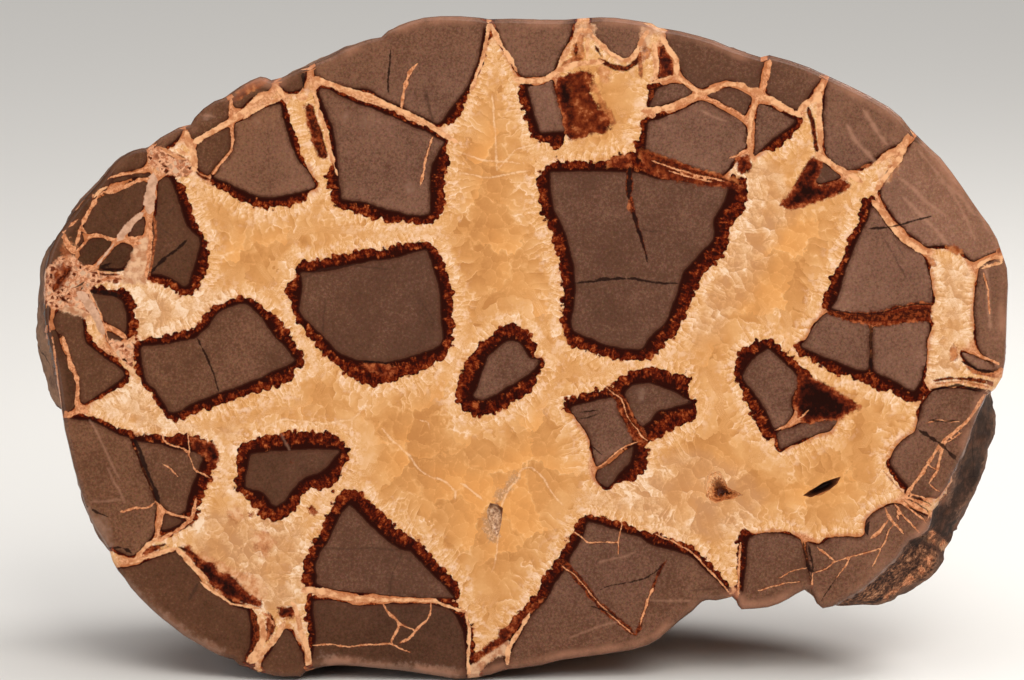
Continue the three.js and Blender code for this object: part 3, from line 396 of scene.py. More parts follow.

# %% [markdown]
# ## Stains and odd patches
# Iron has stained some places rust-orange, some corners are broken breccia of
# tan calcite and dark grains, and water has bleached the lower margin. Two kinds
# are painted shade: a brown band along the edges of the pit and the slit, and a
# shadow on the rind. They are rough closed outlines, and their soft, ragged
# edges come later from noise.

# %% Outlines of stains, breccia, dark and bleached places
PATCHES = {
    "breccia": """
        74 254 82 264 92 270 105 273 122 272 124 283 100 283 88 290 98 312 90 316 76 306 56 310 44 306
        40 278 48 266 60 256 | 146 148 152 144 162 148 176 153 190 160 195 172 180 178 168 174 158 172
        150 166 | 105 336 130 345 135 338 132 370 118 358""",
    "peach": """
        472 664 484 657 494 650 504 643 509 638 510 655 500 656 488 664 480 672 478 695 466 695 468 664
        | 50 294 60 290 90 290 100 314 84 318 60 312 | 136 240 148 236 152 260 147 284 119 284 128 262
        | 640 26 655 26 650 44 645 50 640 46 | 575 24 596 24 596 38 575 38 | 930 384 960 383 985 388
        960 385""",
    "milky": """
        932 262 968 262 975 300 972 345 950 385 925 388 930 340 934 300 | 185 520 230 505 300 520 310
        560 300 610 262 610 230 590 200 560 | 590 500 640 470 690 450 740 470 765 500 745 530 700 540
        640 520 | 135 290 190 300 240 290 230 300 190 320 150 332 | 700 130 760 150 800 200 720 330 690
        340 740 220 | 95 405 110 392 132 372 150 395 190 425 240 430 215 440 150 430 | 100 284 128 262
        150 284 200 300 190 330 150 345 120 340 96 312""",
    "rust": """
        306 512 312 505 316 503 319 520 312 516 | 945 245 958 246 965 252 955 256 | 928 256 935 258 938
        264 930 268 | 570 42 576 34 584 34 585 60 572 62 | 642 46 652 46 650 60 640 62 | 588 76 596 80
        600 95 612 110 618 124 606 130 600 110 590 92 | 690 170 715 172 740 178 740 186 713 184 692 180
        | 606 160 614 160 614 168 606 168 | 951 344 958 345 958 362 950 362 | 640 148 665 156 690 166
        690 172 660 166 638 158 | 233 103 262 86 270 80 262 78 246 84 234 94""",
    "dark": """
        798 372 810 378 825 382 840 392 850 398 860 405 865 410 850 412 843 418 838 422 830 420 815 423
        800 423 795 412 792 400 797 388 | 777 205 785 197 792 190 797 178 803 170 808 158 815 156 824
        163 820 174 815 184 828 184 842 178 853 186 845 192 835 197 820 201 810 206 800 209 788 211 780
        208 | 556 78 575 72 590 70 594 72 592 80 590 92 594 100 598 108 605 112 612 118 610 133 590 134
        578 141 568 141 565 133 560 110 555 90 | 190 437 218 443 220 462 210 464 205 456 192 450 | 735
        155 750 155 752 172 738 175 | 360 363 386 364 398 368 392 378 376 374 366 370 | 137 553 150 546
        170 546 158 551 146 555 | 180 545 190 545 195 553 205 562 215 562 218 572 228 572 238 580 245
        590 255 597 264 602 262 608 240 603 228 598 215 590 206 580 200 572 190 560 | 277 607 293 605
        297 612 293 620 278 618 | 641 150 660 156 690 166 722 177 742 185 745 190 715 187 690 182 660
        178 643 172 | 266 612 276 622 272 636 264 644 | 248 512 254 512 253 517 248 517 | 290 460 295
        460 295 465 290 465 | 497 640 500 628 506 626 512 624 516 616 524 612 532 606 540 598 545 600
        536 610 526 618 518 628 510 638 500 646 490 652 482 658 474 664 472 656 480 650 488 642 493 640
        | 303 104 312 104 318 120 323 140 328 158 318 158 311 140 306 120 | 612 392 619 392 628 404 636
        420 645 431 648 441 640 445 632 438 626 424 618 408 | 824 310 840 312 860 312 880 311 895 307
        910 303 932 302 932 321 915 322 890 325 870 326 852 322 838 318 | 610 158 632 154 632 168 612
        168 | 655 48 664 46 672 56 674 76 668 78 658 78 | 490 503 497 504 502 502 501 507 497 512 493
        509 | 306 506 316 502 318 520 310 514""",
    "blush": """
        190 548 208 556 228 566 248 572 264 582 266 602 248 600 230 590 210 580 194 566 | 254 534 266
        528 274 542 268 556 256 552 | 228 512 240 506 246 518 236 526 | 596 66 606 62 612 74 604 92 600
        84 | 876 178 890 164 900 160 896 172 886 186 | 58 248 70 240 78 252 66 262""",
    "ember": """
        568 75 590 71 592 82 588 93 596 104 607 112 612 120 608 132 590 134 574 139 568 122 569 100 |
        641 152 660 160 690 170 718 180 712 186 680 180 650 172 | 54 262 66 262 74 270 68 284 58 294 52
        288""",
    "bleached": """
        362 119 370 121 368 127 361 125 | 342 114 349 116 348 121 341 119 | 407 185 413 187 411 192 406
        190 | 637 391 646 392 645 398 638 397 | 83 504 108 523 112 548 96 552 76 512 | 112 568 122 575
        140 592 165 615 195 635 225 652 222 672 190 665 150 640 120 610 100 575 | 320 652 360 662 420
        664 455 668 455 680 330 680 | 204 190 206 190 207 192 205 192 | 198 113 212 116 211 119 199 117
        | 256 118 258 118 258 122 256 122""",
    "fracture": """
        905 552 915 545 930 545 941 550 943 562 936 574 926 584 905 590 888 604 860 612 825 615 830 608
        850 597 862 590 880 577 893 562""",
    "crust": """
        939 556 936 566 930 574 922 584 908 590 898 598 889 606 884 602 892 592 902 584 914 576 922 566
        930 556 | 930 482 942 484 950 480 953 492 944 498 936 506 928 500 926 490 | 930 528 940 534 949
        542 954 549 944 550 936 545 930 538""",
    "grey": """
        484 516 490 506 498 508 501 520 499 535 495 545 488 541 484 528 | 516 470 519 478 511 488 505
        499 497 505 491 502 498 491 507 482""",
    # Painted shade along the edges of the slit and of the pit.
    "lip": """
        804 494 812 490 819 486 826 481 833 479 840 477 838 483 832 489 824 494 814 497 | 704 496 712
        501 724 496 736 497 746 495 736 491 726 487 720 480 716 488""",
    "shadow": """
        935 506 946 504 958 508 964 520 958 534 948 540 938 534 930 522 | 908 540 920 536 932 534 930
        545 914 548 | 104 546 122 543 134 552 126 557 112 553 | 976 398 990 394 1001 398 1000 425 992
        455 980 487 966 510 955 514 955 490 966 450 972 425""",
}
print(sum(text.count("|") + 1 for text in (*VEINS.values(), *PATCHES.values())), "lines and patches")

# %% [markdown]
# ## From outlines to lines a saw would show
# A real crack wall is neither straight nor smooth. Each outline is stepped into
# short even pieces, its corners are eased, and a slow and a quick noise push it
# about. The noise depends only on the place, so two outlines that share a wall
# are pushed the same way and stay together. `noise.seed_set` matters: without
# it, Blender starts its noise vectors from the clock and no two runs agree.

# %% Even and unsteady lines
STEP = 2.0
SWAYS = [(0.9, 0.09, 1), (0.45, 0.33, 5)]  # how far in units, how quick per unit, which noise
noise.seed_set(1)


def drawn(text):
    """'u v u v ...' as an array of drawing points."""
    return np.array(text.split(), float).reshape(-1, 2)


def eased(values):
    """Each value pulled a little towards its two neighbours in a ring."""
    return (np.roll(values, 1, 0) + 2 * values + np.roll(values, -1, 0)) / 4


def unsteady(text, closed):
    """Steps a drawn line evenly, eases its corners and lets it wander a little."""
    points = drawn(text)
    p = np.vstack([points, points[:1]]) if closed else points
    at = np.r_[0, np.cumsum(np.hypot(*np.diff(p, axis=0).T))]
    s = np.linspace(0, at[-1], max(3, round(at[-1] / STEP)) + 1)
    line = np.c_[np.interp(s, at, p[:, 0]), np.interp(s, at, p[:, 1])]
    line = line[:-1] if closed else line
    for _ in range(2):
        line = eased(line) if closed else np.vstack([line[:1], eased(line)[1:-1], line[-1:]])
    sway = [sum((far * noise.noise_vector((u * quick, v * quick, which)) for far, quick, which in SWAYS),
                Vector()) for u, v in line]
    return line + np.array(sway)[:, :2]


print("a line 100 units long gets", len(unsteady("100 100 200 100", False)), "points")


# %% Which points are inside, beside or near an outline
def inside(points, outline):
    """Which of the points lie inside a closed outline."""
    x, y = points[:, 0, None], points[:, 1, None]
    (ax, ay), (bx, by) = outline.T, np.roll(outline, -1, 0).T
    with np.errstate(divide="ignore", invalid="ignore"):
        crosses = ((ay > y) != (by > y)) & (x < (bx - ax) * (y - ay) / (by - ay) + ax)
    return crosses.sum(1) % 2 == 1


def boxed(points, outline, margin=0):
    """Which of the points lie in the box of an outline, widened by a margin."""
    return ((points > outline.min(0) - margin) & (points < outline.max(0) + margin)).all(1)


def tree_of(points):
    """A search tree over drawing points, for finding the nearest ones fast."""
    tree = kdtree.KDTree(len(points))
    for i, (u, v) in enumerate(points):
        tree.insert((u, v, 0), i)
    tree.balance()
    return tree


class Strokes:
    """Short pieces of line that carry a number at each end, and which one is nearest."""

    def __init__(self, lines, closed, numbers=None):
        numbers = numbers or [np.zeros(len(line)) for line in lines]
        ends = [(l, np.roll(l, -1, 0), n, np.roll(n, -1, 0)) if closed
                else (l[:-1], l[1:], n[:-1], n[1:]) for l, n in zip(lines, numbers)]
        self.a, self.b, self.na, self.nb = (np.concatenate(part) for part in zip(*ends))
        self.tree = tree_of((self.a + self.b) / 2)

    def nearest(self, points):
        """The distance to the nearest piece in drawing units, and its number there."""
        few = min(3, len(self.a))
        found = np.array([[hit[1] for hit in self.tree.find_n((u, v, 0), few)] for u, v in points],
                         int).reshape(-1, few)
        a, b = self.a[found], self.b[found]
        along = ((points[:, None] - a) * (b - a)).sum(2) / np.maximum(((b - a) ** 2).sum(2), 1e-9)
        along = along.clip(0, 1)
        far = np.linalg.norm(points[:, None] - a - along[..., None] * (b - a), axis=2)
        best = far.argmin(1)
        row = np.arange(len(points))
        t = along[row, best]
        t = t if self.na.ndim == 1 else t[:, None]
        pick = found[row, best]
        return far[row, best], self.na[pick] * (1 - t) + self.nb[pick] * t

    def distance(self, points):
        """The distance alone."""
        return self.nearest(points)[0]


square = drawn("0 0 10 0 10 10 0 10")
print("inside a square of 10 units:", inside(drawn("5 5 15 5"), square),
      " distance to its sides:", Strokes([square], True).distance(drawn("5 5 15 5")))


# %% The walls of the blocks, and how thick the aragonite is on them
FRINGE_MOST, NARROW, APART = 36, 26, 937
PLAIN_WIDTH, NARROW_WIDTHS, FRINGE_LEAST = 1.4, (1.0, 4.5), 1.6
block_texts = [text.split("|") for text in BLOCKS.values()]
shades = [float(shade) for shade, *_ in block_texts]
walls = [unsteady(outline, True) for _, outline, *_ in block_texts]
owner = np.concatenate([np.full(len(wall), n) for n, wall in enumerate(walls)])
wall_tree = tree_of(np.vstack(walls))
wall_strokes = []


def gap_beside(wall, own):
    """How wide the crack is at each point of a wall, up to NARROW."""
    return np.array([min([far for _, i, far in wall_tree.find_range((u, v, 0), NARROW) if owner[i] != own]
                         or [NARROW]) for u, v in wall])


def fringe_width(wall, pieces, elsewhere):
    """How far the fringe reaches at each point of a wall, and elsewhere where it has none."""
    far, where = Strokes(pieces, False, pieces).nearest(wall)
    clockwise = (wall[:, 0] * np.roll(wall[:, 1], -1) - np.roll(wall[:, 0], -1) * wall[:, 1]).sum() > 0
    tangent = np.roll(wall, -1, 0) - np.roll(wall, 1, 0)
    out = np.c_[tangent[:, 1], -tangent[:, 0]] * (1 if clockwise else -1)
    away = ((where - wall) * out).sum(1) > 0.35 * far * np.linalg.norm(out, axis=1)
    return np.where(away & (far < FRINGE_MOST), far.clip(FRINGE_LEAST), elsewhere)


for number, (wall, (_, _, *fringe)) in enumerate(zip(walls, block_texts)):
    patchy = np.array([0.6 + 0.9 * noise.noise((u * .12, v * .12, 3)) for u, v in wall]).clip(0.1, 1)
    gap = gap_beside(wall, number)
    wide = np.where(gap < NARROW, (0.3 * gap * patchy).clip(*NARROW_WIDTHS), PLAIN_WIDTH)
    if fringe:
        wide = fringe_width(wall, [unsteady(piece, False) for piece in fringe[0].split("/")], wide)
    for _ in range(3):
        wide = eased(wide)
    along = np.r_[0, np.cumsum(np.linalg.norm(np.diff(wall, axis=0), axis=1))] + APART * number
    wall_strokes.append(Strokes([wall], True, [np.c_[wide, along]]))
    wall_strokes[-1].nb[-1, 1] = along[-1] + STEP
print("walls:", len(owner), "pieces")

# %% The centre lines of the veins
THIN_VEIN = 3


def read_vein(row):
    """'width u v u v ...' as a wandering line with half its width at each point."""
    width, points = row.split(None, 1)
    line = unsteady(points, False)
    ends = [float(w) / 2 for w in width.split(">")]
    half = np.linspace(ends[0], ends[-1], len(line))
    sway = 0.8 if max(ends) < THIN_VEIN else 0.4
    half *= [0.98 - 0.25 * sway + sway * noise.noise((u * .16, v * .16, 9)) for u, v in line]
    half[[0, -1]] *= 0.2  # both ends come to a point
    half[[1, -2]] *= 0.65
    return line, half


veins = {kind: list(zip(*map(read_vein, text.split("|")))) for kind, text in VEINS.items()}
patches = {kind: [unsteady(row, True) for row in text.split("|")] for kind, text in PATCHES.items()}
print({kind: len(lines) for kind, (lines, _) in veins.items()})

# %% [markdown]
# ## The body behind the face
# The solid gives the shape of the rind and of the open pits. Its flat face is
# taken off, the rest is cut into small triangles and eased, and a fine noise
# roughens it the way weather does. The edges left open by the face keep their
# places, because the new face is woven into them.

# %% Take the flat face off and refine the rest
LONGEST_EDGE, FACING_FRONT, AT_FACE = 0.0023, -0.9995, 2e-5
rind = bmesh.new()
rind.from_mesh(stone_node.data)
bmesh.ops.remove_doubles(rind, verts=rind.verts, dist=1e-6)
rind.normal_update()
flat = [f for f in rind.faces if f.normal.dot(INTO_STONE) < FACING_FRONT
        and abs(to_drawing([f.calc_center_median()])[0, 2]) < AT_FACE]
bmesh.ops.delete(rind, geom=flat, context="FACES")
for _ in range(5):
    long_edges = [e for e in rind.edges if e.calc_length() > LONGEST_EDGE]
    bmesh.ops.subdivide_edges(rind, edges=long_edges, cuts=1)
    bmesh.ops.triangulate(rind, faces=[f for f in rind.faces if len(f.verts) > 3])
print("face triangles removed:", len(flat), " rind triangles:", len(rind.faces))

# %% [markdown]
# ## The grooves of the rind
# Where the inner cracks reach the outside they weather into grooves, which part
# the rind into plates. They are drawn as if the back were folded out flat behind
# the face, like the peel of half an orange. A place on the back is folded out by
# asking how far it is from the middle, as a share of how far the stone reaches
# that way.

# %% The grooves, and how the back is folded out
GROOVES = """
    56 236 180 262 232 330 | 50 416 190 398 232 330 | 146 149 235 215 330 240 | 232 330 330 240 | 190
    124 235 215 | 271 79 330 150 330 240 | 383 34 410 130 470 190 | 489 18 505 110 470 190 | 330 240
    470 190 | 655 25 610 130 600 215 | 470 190 600 215 | 762 56 715 150 600 215 | 826 74 715 150 | 914
    131 830 215 745 285 | 1005 262 900 300 745 285 | 600 215 745 285 | 996 390 880 398 770 425 | 745
    285 770 425 | 955 552 850 500 770 425 | 738 606 720 520 665 470 | 770 425 665 470 | 508 670 520 570
    470 500 | 665 470 560 455 470 500 | 310 668 350 560 330 480 | 470 500 400 450 330 480 | 118 570 225
    510 330 480 | 330 480 300 400 232 330 | 470 190 455 330 400 450 | 600 215 560 330 560 455"""
SQUARENESS, GIRTH_MM, SECTORS = 0.66, 14, 120
grooves = [unsteady(row, False) for row in GROOVES.split("|")]
groove_strokes = Strokes(grooves, False)
rind_flat = to_drawing([v.co for v in rind.verts])
rind_way = rind_flat[:, :2] - (MID_U, MID_V)
rind_turn = (np.arctan2(rind_way[:, 1], rind_way[:, 0]) + math.pi) / math.tau
rind_sector = (rind_turn * SECTORS).astype(int) % SECTORS
sector_reach = np.array([np.hypot(*rind_way[rind_sector == k].T).max() for k in range(SECTORS)])


def around(flat_at):
    """The way from the middle, its length, its turn, and how far the stone reaches that way."""
    way = flat_at[:, :2] - (MID_U, MID_V)
    turn = np.arctan2(way[:, 1], way[:, 0])
    sector = np.arange(-1, SECTORS + 1)
    girth = np.interp(turn, (sector + 0.5) / SECTORS * math.tau - math.pi, sector_reach[sector % SECTORS])
    return way, np.hypot(*way.T), turn, girth


def fold_flat(flat_at):
    """Rows of u, v and depth as the u and v they have when the back is folded out flat."""
    way, reach, _, girth = around(flat_at)
    sweep = np.arccos((reach / girth).clip(0, 1) ** (1 / SQUARENESS)) * 2 / math.pi
    sweep = np.where(flat_at[:, 2] * 1000 > GIRTH_MM, sweep, 0)
    return way / reach.clip(1e-6)[:, None] * (girth * (1 - sweep))[:, None] + (MID_U, MID_V)


print(len(grooves), "grooves; the stone reaches from", sector_reach.min().round(), "to",
      sector_reach.max().round(), "units from its middle")

# %% Ease the facets and roughen the rind, with heights in millimetres
GROOVE_REACH, GROOVE_DEPTH, PIT_DEPTH = 3.4, 1.3, 1.3
RIM_KEPT, FLAT_KEPT, FADE, SPARE = 0.0012, 0.0004, 0.003, 2e-5
low, high = (np.array(corner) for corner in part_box("nodule"))
rind.verts.index_update()
to_groove = groove_strokes.distance(fold_flat(rind_flat)) * UNIT * 1000
deep = dict(zip(rind.verts, rind_flat[:, 2]))
outside = [v for v in rind.verts if not v.is_boundary and v.co.z > FLAT_KEPT and deep[v] > RIM_KEPT]
for _ in range(5):
    bmesh.ops.smooth_vert(rind, verts=outside, factor=0.5,
                          use_axis_x=True, use_axis_y=True, use_axis_z=True)
rind.normal_update()
for v in outside:
    p = v.co * 1000
    lumps = 0.75 * noise.noise(p * 0.05 + Vector((2, 9, 4))) + 0.45 * noise.noise(p * 0.11)
    rough = 0.30 * noise.fractal(p * 0.16, 0.8, 2.1, 3) + 0.16 * noise.fractal(p * 0.7, 0.9, 2.0, 3)
    pits = PIT_DEPTH * max(0.0, noise.noise(p * 0.42 + Vector((7, 3, 1))) - 0.25)
    in_groove = max(0.0, 1 - to_groove[v.index] / GROOVE_REACH) ** 2
    dent = GROOVE_DEPTH * in_groove * (0.7 + 0.8 * noise.noise(p * 0.08))
    fade = min(1, (deep[v] - RIM_KEPT) / FADE) * min(1, v.co.z / FADE)
    v.co += v.normal * (lumps + rough - pits - dent) * 0.001 * fade
    v.co = Vector(np.clip(v.co, low + SPARE, high - SPARE))
rind.verts.index_update()
rind_places = np.array([v.co for v in rind.verts])
rind_faces = [[v.index for v in f.verts] for f in rind.faces]
print("box of the rind:", rind_places.min(0).round(4), rind_places.max(0).round(4))

# %% [markdown]
# ## Weaving the face
# A plain flat polygon would have nowhere to hold the pattern. The face becomes a
# net of small triangles in which every wall, vein and crack is a chain of edges,
# so colours can change exactly there. Points are scattered closely beside the
# lines and sparsely in the plain mudstone. Blender's `delaunay_2d_cdt` joins
# them and keeps the chains. It also fills the pits and the bays around the rim,
# so only the triangles that hang together with the middle of the face are kept.

# %% The open loops left by the old face
loop_edges = [e for e in rind.edges if e.is_boundary]
loop_verts = sorted({v.index for e in loop_edges for v in e.verts})
slot_of = {index: k for k, index in enumerate(loop_verts)}
loop_points = to_drawing(rind_places[loop_verts])[:, :2]
loop_pairs = [(slot_of[e.verts[0].index], slot_of[e.verts[1].index]) for e in loop_edges]
rind.free()


def chains(pairs):
    """Joins pairs of points that share ends into closed loops."""
    near = {}
    for a, b in pairs:
        near.setdefault(a, []).append(b)
        near.setdefault(b, []).append(a)
    left, loops = set(near), []
    while left:
        loop = [left.pop()]
        while ahead := [n for n in near[loop[-1]] if n in left]:
            left.discard(ahead[0])
            loop.append(ahead[0])
        loops.append(loop)
    return sorted(loops, key=len, reverse=True)


rim_outline, *pit_outlines = [loop_points[loop] for loop in chains(loop_pairs)]
print("loops in the face:", [len(outline) for outline in (rim_outline, *pit_outlines)])

# %% Lines that the net must follow
CLEAR = 1.3
edge_strokes = Strokes([rim_outline, *pit_outlines], True)


def on_face(points):
    """Points inside the rim, outside the pits and a little clear of both."""
    good = inside(points, rim_outline)
    for pit in pit_outlines:
        good &= ~inside(points, pit)
    good[good] = edge_strokes.distance(points[good]) > CLEAR
    return good


net_points, net_edges = [loop_points], list(loop_pairs)
count = len(loop_points)
held = [(wall, True) for wall in walls] + [(line, False) for lines, _ in veins.values() for line in lines]
for line, closed in held:
    good = on_face(line)
    n = len(line)
    for i in range(n if closed else n - 1):
        j = (i + 1) % n
        if good[i] and good[j]:
            net_edges.append((count + i, count + j))
    net_points.append(line)
    count += n
line_tree = tree_of(np.vstack(net_points))
print("held points:", count, " held edges:", len(net_edges))

# %% Scattered points, close beside the lines and sparse elsewhere
LEFT, RIGHT, TOP, BOTTOM = 30, 1012, 12, 684
JITTER, ROW_HEIGHT = 0.18, 0.866
LEVELS = [(2.2, 1.4, 6.5), (4.0, 6.5, 14.0), (8.0, 14.0, 400.0)]  # spacing, nearest and farthest
chance = np.random.default_rng(7)
for spacing, nearest, farthest in LEVELS:
    u = np.arange(LEFT, RIGHT, spacing)
    v = np.arange(TOP, BOTTOM, spacing * ROW_HEIGHT)
    grid = np.stack(np.meshgrid(u, v), -1)
    grid[1::2, :, 0] += spacing / 2
    grid = grid.reshape(-1, 2) + chance.uniform(-JITTER, JITTER, (grid.size // 2, 2)) * spacing
    far = np.array([line_tree.find((u, v, 0))[2] for u, v in grid])
    grid = grid[(far > nearest) & (far <= farthest)]
    grid = grid[on_face(grid)]
    net_points.append(grid)
    print("spacing", spacing, "gives", len(grid), "points")

# %% Join them into triangles
points = [Vector(p) for p in np.vstack(net_points)]
joined, joined_edges, joined_faces, came_from, edge_from, _ = geometry.delaunay_2d_cdt(
    points, net_edges, [], 0, 1e-3)
net_verts, net_faces = np.array([tuple(p) for p in joined]), np.array(joined_faces)


def flooded(faces, barrier, start):
    """The triangles that water poured on one of them would reach, if it can't cross the barrier."""
    sides = [[frozenset(side) for side in ((a, b), (b, c), (c, a))] for a, b, c in faces.tolist()]
    beside = {}
    for number, three in enumerate(sides):
        for side in three:
            beside.setdefault(side, []).append(number)
    wet, front = {start}, [start]
    while front:
        for side in sides[front.pop()]:
            if side not in barrier:
                dry = [n for n in beside[side] if n not in wet]
                wet.update(dry)
                front += dry
    return sorted(wet)


barrier = {frozenset(edge) for edge, origin in zip(joined_edges, edge_from)
           if any(i < len(loop_pairs) for i in origin)}
from_middle = np.linalg.norm(net_verts[net_faces].mean(1) - (MID_U, MID_V), axis=1)
net_faces = net_faces[flooded(net_faces, barrier, int(from_middle.argmin()))]
to_vertex = np.full(len(net_verts), -1)
for k, origin in enumerate(came_from):
    ring_slots = [i for i in origin if i < len(loop_verts)]
    if ring_slots:
        to_vertex[k] = loop_verts[ring_slots[0]]
new = np.where((to_vertex < 0) & np.isin(np.arange(len(net_verts)), net_faces))[0]
to_vertex[new] = len(rind_places) + np.arange(len(new))
face_places = np.array([to_stone(u, v) for u, v in net_verts[new].tolist()])
places = np.vstack([rind_places, face_places])
one, two = (net_verts[net_faces[:, k]] - net_verts[net_faces[:, 0]] for k in (1, 2))
flip = one[:, 0] * two[:, 1] - one[:, 1] * two[:, 0] > 0
face_tris = to_vertex[net_faces]
face_tris[flip] = face_tris[flip][:, ::-1]
triangles = np.vstack([rind_faces, face_tris])
print("face triangles:", len(face_tris), " all:", len(triangles))

# %% The stone as one mesh
def link_new(name, data):
    """A new object in the scene that shows the given mesh, lamp or camera."""
    made = bpy.data.objects.new(name, data)
    bpy.context.collection.objects.link(made)
    return made


stone_mesh = bpy.data.meshes.new("nodule_stone")
stone_mesh.from_pydata(places.tolist(), [], triangles.tolist())
stone = link_new("nodule_stone", stone_mesh)
check = bmesh.new()
check.from_mesh(stone_mesh)
print("open edges:", sum(not e.is_manifold for e in check.edges),
      " volume cm3:", round(check.calc_volume() * 1e6, 1))
check.free()

# %% [markdown]
# ## Measuring the pattern at every point
# The finishes need to know, at each point, how far it is from the nearest wall,
# how much aragonite stands there, and how near each kind of vein or stain is.
# These are measured once, in millimetres, and kept on the mesh as named
# attributes. Between the points Blender blends them, so a few numbers draw
# crisp lines at any zoom.

# %% Distances to walls
REACH, UNSEEN, MIDDLE_SHADE = 90, 99.0, 0.4
FRONT_MM, CUT_MM = 16, 1.4
flat_at = to_drawing(places)
uv, depth_mm = flat_at[:, :2], flat_at[:, 2] * 1000
front = depth_mm < FRONT_MM
count = len(places)
nearest_wall, second_wall, past_fringe = np.full((3, count), UNSEEN)
fringe, thick = np.ones((2, count))
along = np.zeros(count)
shade = np.full(count, MIDDLE_SHADE)
for wall, strokes, tone in zip(walls, wall_strokes, shades):
    some = np.where(front & boxed(uv, wall, REACH))[0]
    far, numbers = strokes.nearest(uv[some])
    wide, run = numbers.T
    second_wall[some] = np.minimum(second_wall[some], np.maximum(far, nearest_wall[some]))
    nearest_wall[some] = np.minimum(nearest_wall[some], far)
    here = far - wide < past_fringe[some]
    past_fringe[some[here]] = (far - wide)[here]
    fringe[some[here]] = (far / wide)[here]
    thick[some[here]] = wide[here]
    along[some[here]] = run[here]
    shade[some[inside(uv[some], wall)]] = tone
margin = np.zeros(count)
margin[front] = Strokes([rim_outline], True).distance(uv[front]) * MM
measured = {"wall": nearest_wall * MM, "past_fringe": past_fringe * MM, "fringe": fringe.clip(0, 3),
            "channel": ((nearest_wall + second_wall) * MM).clip(0, 40), "shade": shade,
            "thick": thick * MM, "depth": depth_mm, "margin": np.where(depth_mm < CUT_MM, margin, 0),
            "groove": groove_strokes.distance(fold_flat(flat_at)) * MM}
print("points:", count, " of them near the face:", front.sum())

# %% Distances to veins and stains
BIT, NOT_NEAR = 16, 9.0
for kind, (lines, halves) in veins.items():
    far, half = Strokes(lines, False, halves).nearest(uv[front])
    measured[kind] = np.full(count, NOT_NEAR)
    measured[kind][front] = ((far - half) * MM).clip(-NOT_NEAR, NOT_NEAR)
for kind, outlines in patches.items():
    value = measured[kind + "_patch"] = np.full(count, NOT_NEAR)
    for outline in outlines:
        some = np.where(front & boxed(uv, outline, BIT))[0]
        if len(some):
            far = Strokes([outline], True).distance(uv[some]) * MM
            value[some] = np.minimum(value[some], np.where(inside(uv[some], outline), -far, far))
for name, values in measured.items():
    stone_mesh.attributes.new(name, "FLOAT", "POINT").data.foreach_set("value", values.astype(np.float32))
wall_map = np.c_[along * MM, past_fringe * MM, fringe].astype(np.float32)
stone_mesh.attributes.new("wall_map", "FLOAT_VECTOR", "POINT").data.foreach_set("vector", wall_map.ravel())
print("attributes:", ", ".join(measured))

# %% Which triangles are mudstone, crack filling, rind or the wall of a pit
MUDSTONE, FILLING, RIND, PIT = 0, 1, 2, 3
FLAT_DEPTH, PIT_DEPTHS, PIT_WIDENED = 1e-6, (1e-5, 0.012), 1.5
centre = to_drawing(places[triangles].mean(1))
centre_uv, centre_depth = centre[:, :2], centre[:, 2]
cut = centre_depth < CUT_MM / 1000
in_block = np.zeros(len(triangles), bool)
for wall in walls:
    some = np.where(cut & boxed(centre_uv, wall))[0]
    in_block[some] |= inside(centre_uv[some], wall)
kind_of = np.where(cut, np.where(in_block, MUDSTONE, FILLING), RIND)
behind = (centre_depth > PIT_DEPTHS[0]) & (centre_depth < PIT_DEPTHS[1])
for pit in pit_outlines:
    kind_of[behind & inside(centre_uv, pit.mean(0) + PIT_WIDENED * (pit - pit.mean(0)))] = PIT
stone_mesh.polygons.foreach_set("material_index", kind_of.astype(np.int32))
stone_mesh.polygons.foreach_set("use_smooth", centre_depth >= FLAT_DEPTH)
print("mudstone, filling, rind, pits:", np.bincount(kind_of))

# %% [markdown]
# ## A flat map of the stone
# Another program can't run these nodes, so an export has to paint them into one
# square image. Unwrapped by itself, the plain rind would take most of it. This
# map gives two thirds to the polished face. The back is laid out as seen from
# behind, and the side is unrolled in two strips, like a label off a jar.

# %% Lay the face, the back and the two strips of the side out in the unit square
EDGE, BACK_WITHIN, BACK_PER_MM, BACK_AT = 0.004, 0.86, 0.0022, (0.449, 0.30)
SIDE_LEFT, SIDE_LENGTH, DEEPEST_MM = 0.46, 1.04, 62
STRIP_FLOOR, STRIP_APART, STRIP_HEIGHT = 0.010, 0.150, 0.135
face_scale = (1 - 2 * EDGE) / np.ptp(rim_outline[:, 0])
face_map = (uv - rim_outline.min(0)) * face_scale * (1, -1) + (EDGE, 1 - EDGE)
back_map = (uv - rim_outline.min(0)) * BACK_PER_MM * MM * (-1, -1) + BACK_AT
_, reach, turn, girth = around(flat_at)
arc = np.r_[0, np.cumsum(sector_reach)] / sector_reach.sum()
turned = np.interp((turn + math.pi) / math.tau, np.linspace(0, 1, SECTORS + 1), arc)[triangles]
turned = turned[:, :1] + (turned - turned[:, :1] + 0.5) % 1 - 0.5
strip = (turned.mean(1) % 1 * 2).astype(int)
strip_left = strip / 2 + np.floor(turned.mean(1))
up_strip = (depth_mm[triangles] / DEEPEST_MM).clip(0, 1) * STRIP_HEIGHT
side_map = np.stack([SIDE_LEFT + (turned - strip_left[:, None]) * SIDE_LENGTH,
                     STRIP_FLOOR + STRIP_APART * strip[:, None] + up_strip], -1)
of_back = (reach / girth)[triangles].mean(1) < BACK_WITHIN
on_flat = (kind_of == PIT) | (centre_depth < FLAT_DEPTH)
laid_out = np.where(on_flat[:, None, None], face_map[triangles],
                    np.where(of_back[:, None, None], back_map[triangles], side_map))
stone_mesh.uv_layers.new(name="OFBake").data.foreach_set("uv", laid_out.astype(np.float32).ravel())
print("map reaches from", laid_out.min((0, 1)).round(3), "to", laid_out.max((0, 1)).round(3),
      " face above", round(float(face_map[depth_mm < 1e-3, 1].min()), 3))

# %% [markdown]
# ## A short way to write node trees
# Finishes are built from nodes. A small helper keeps each one readable: it adds a
# node, links or sets its inputs, and hands back the output. Sizes are given in
# millimetres, and colours as the 0 to 255 numbers of a colour picker.

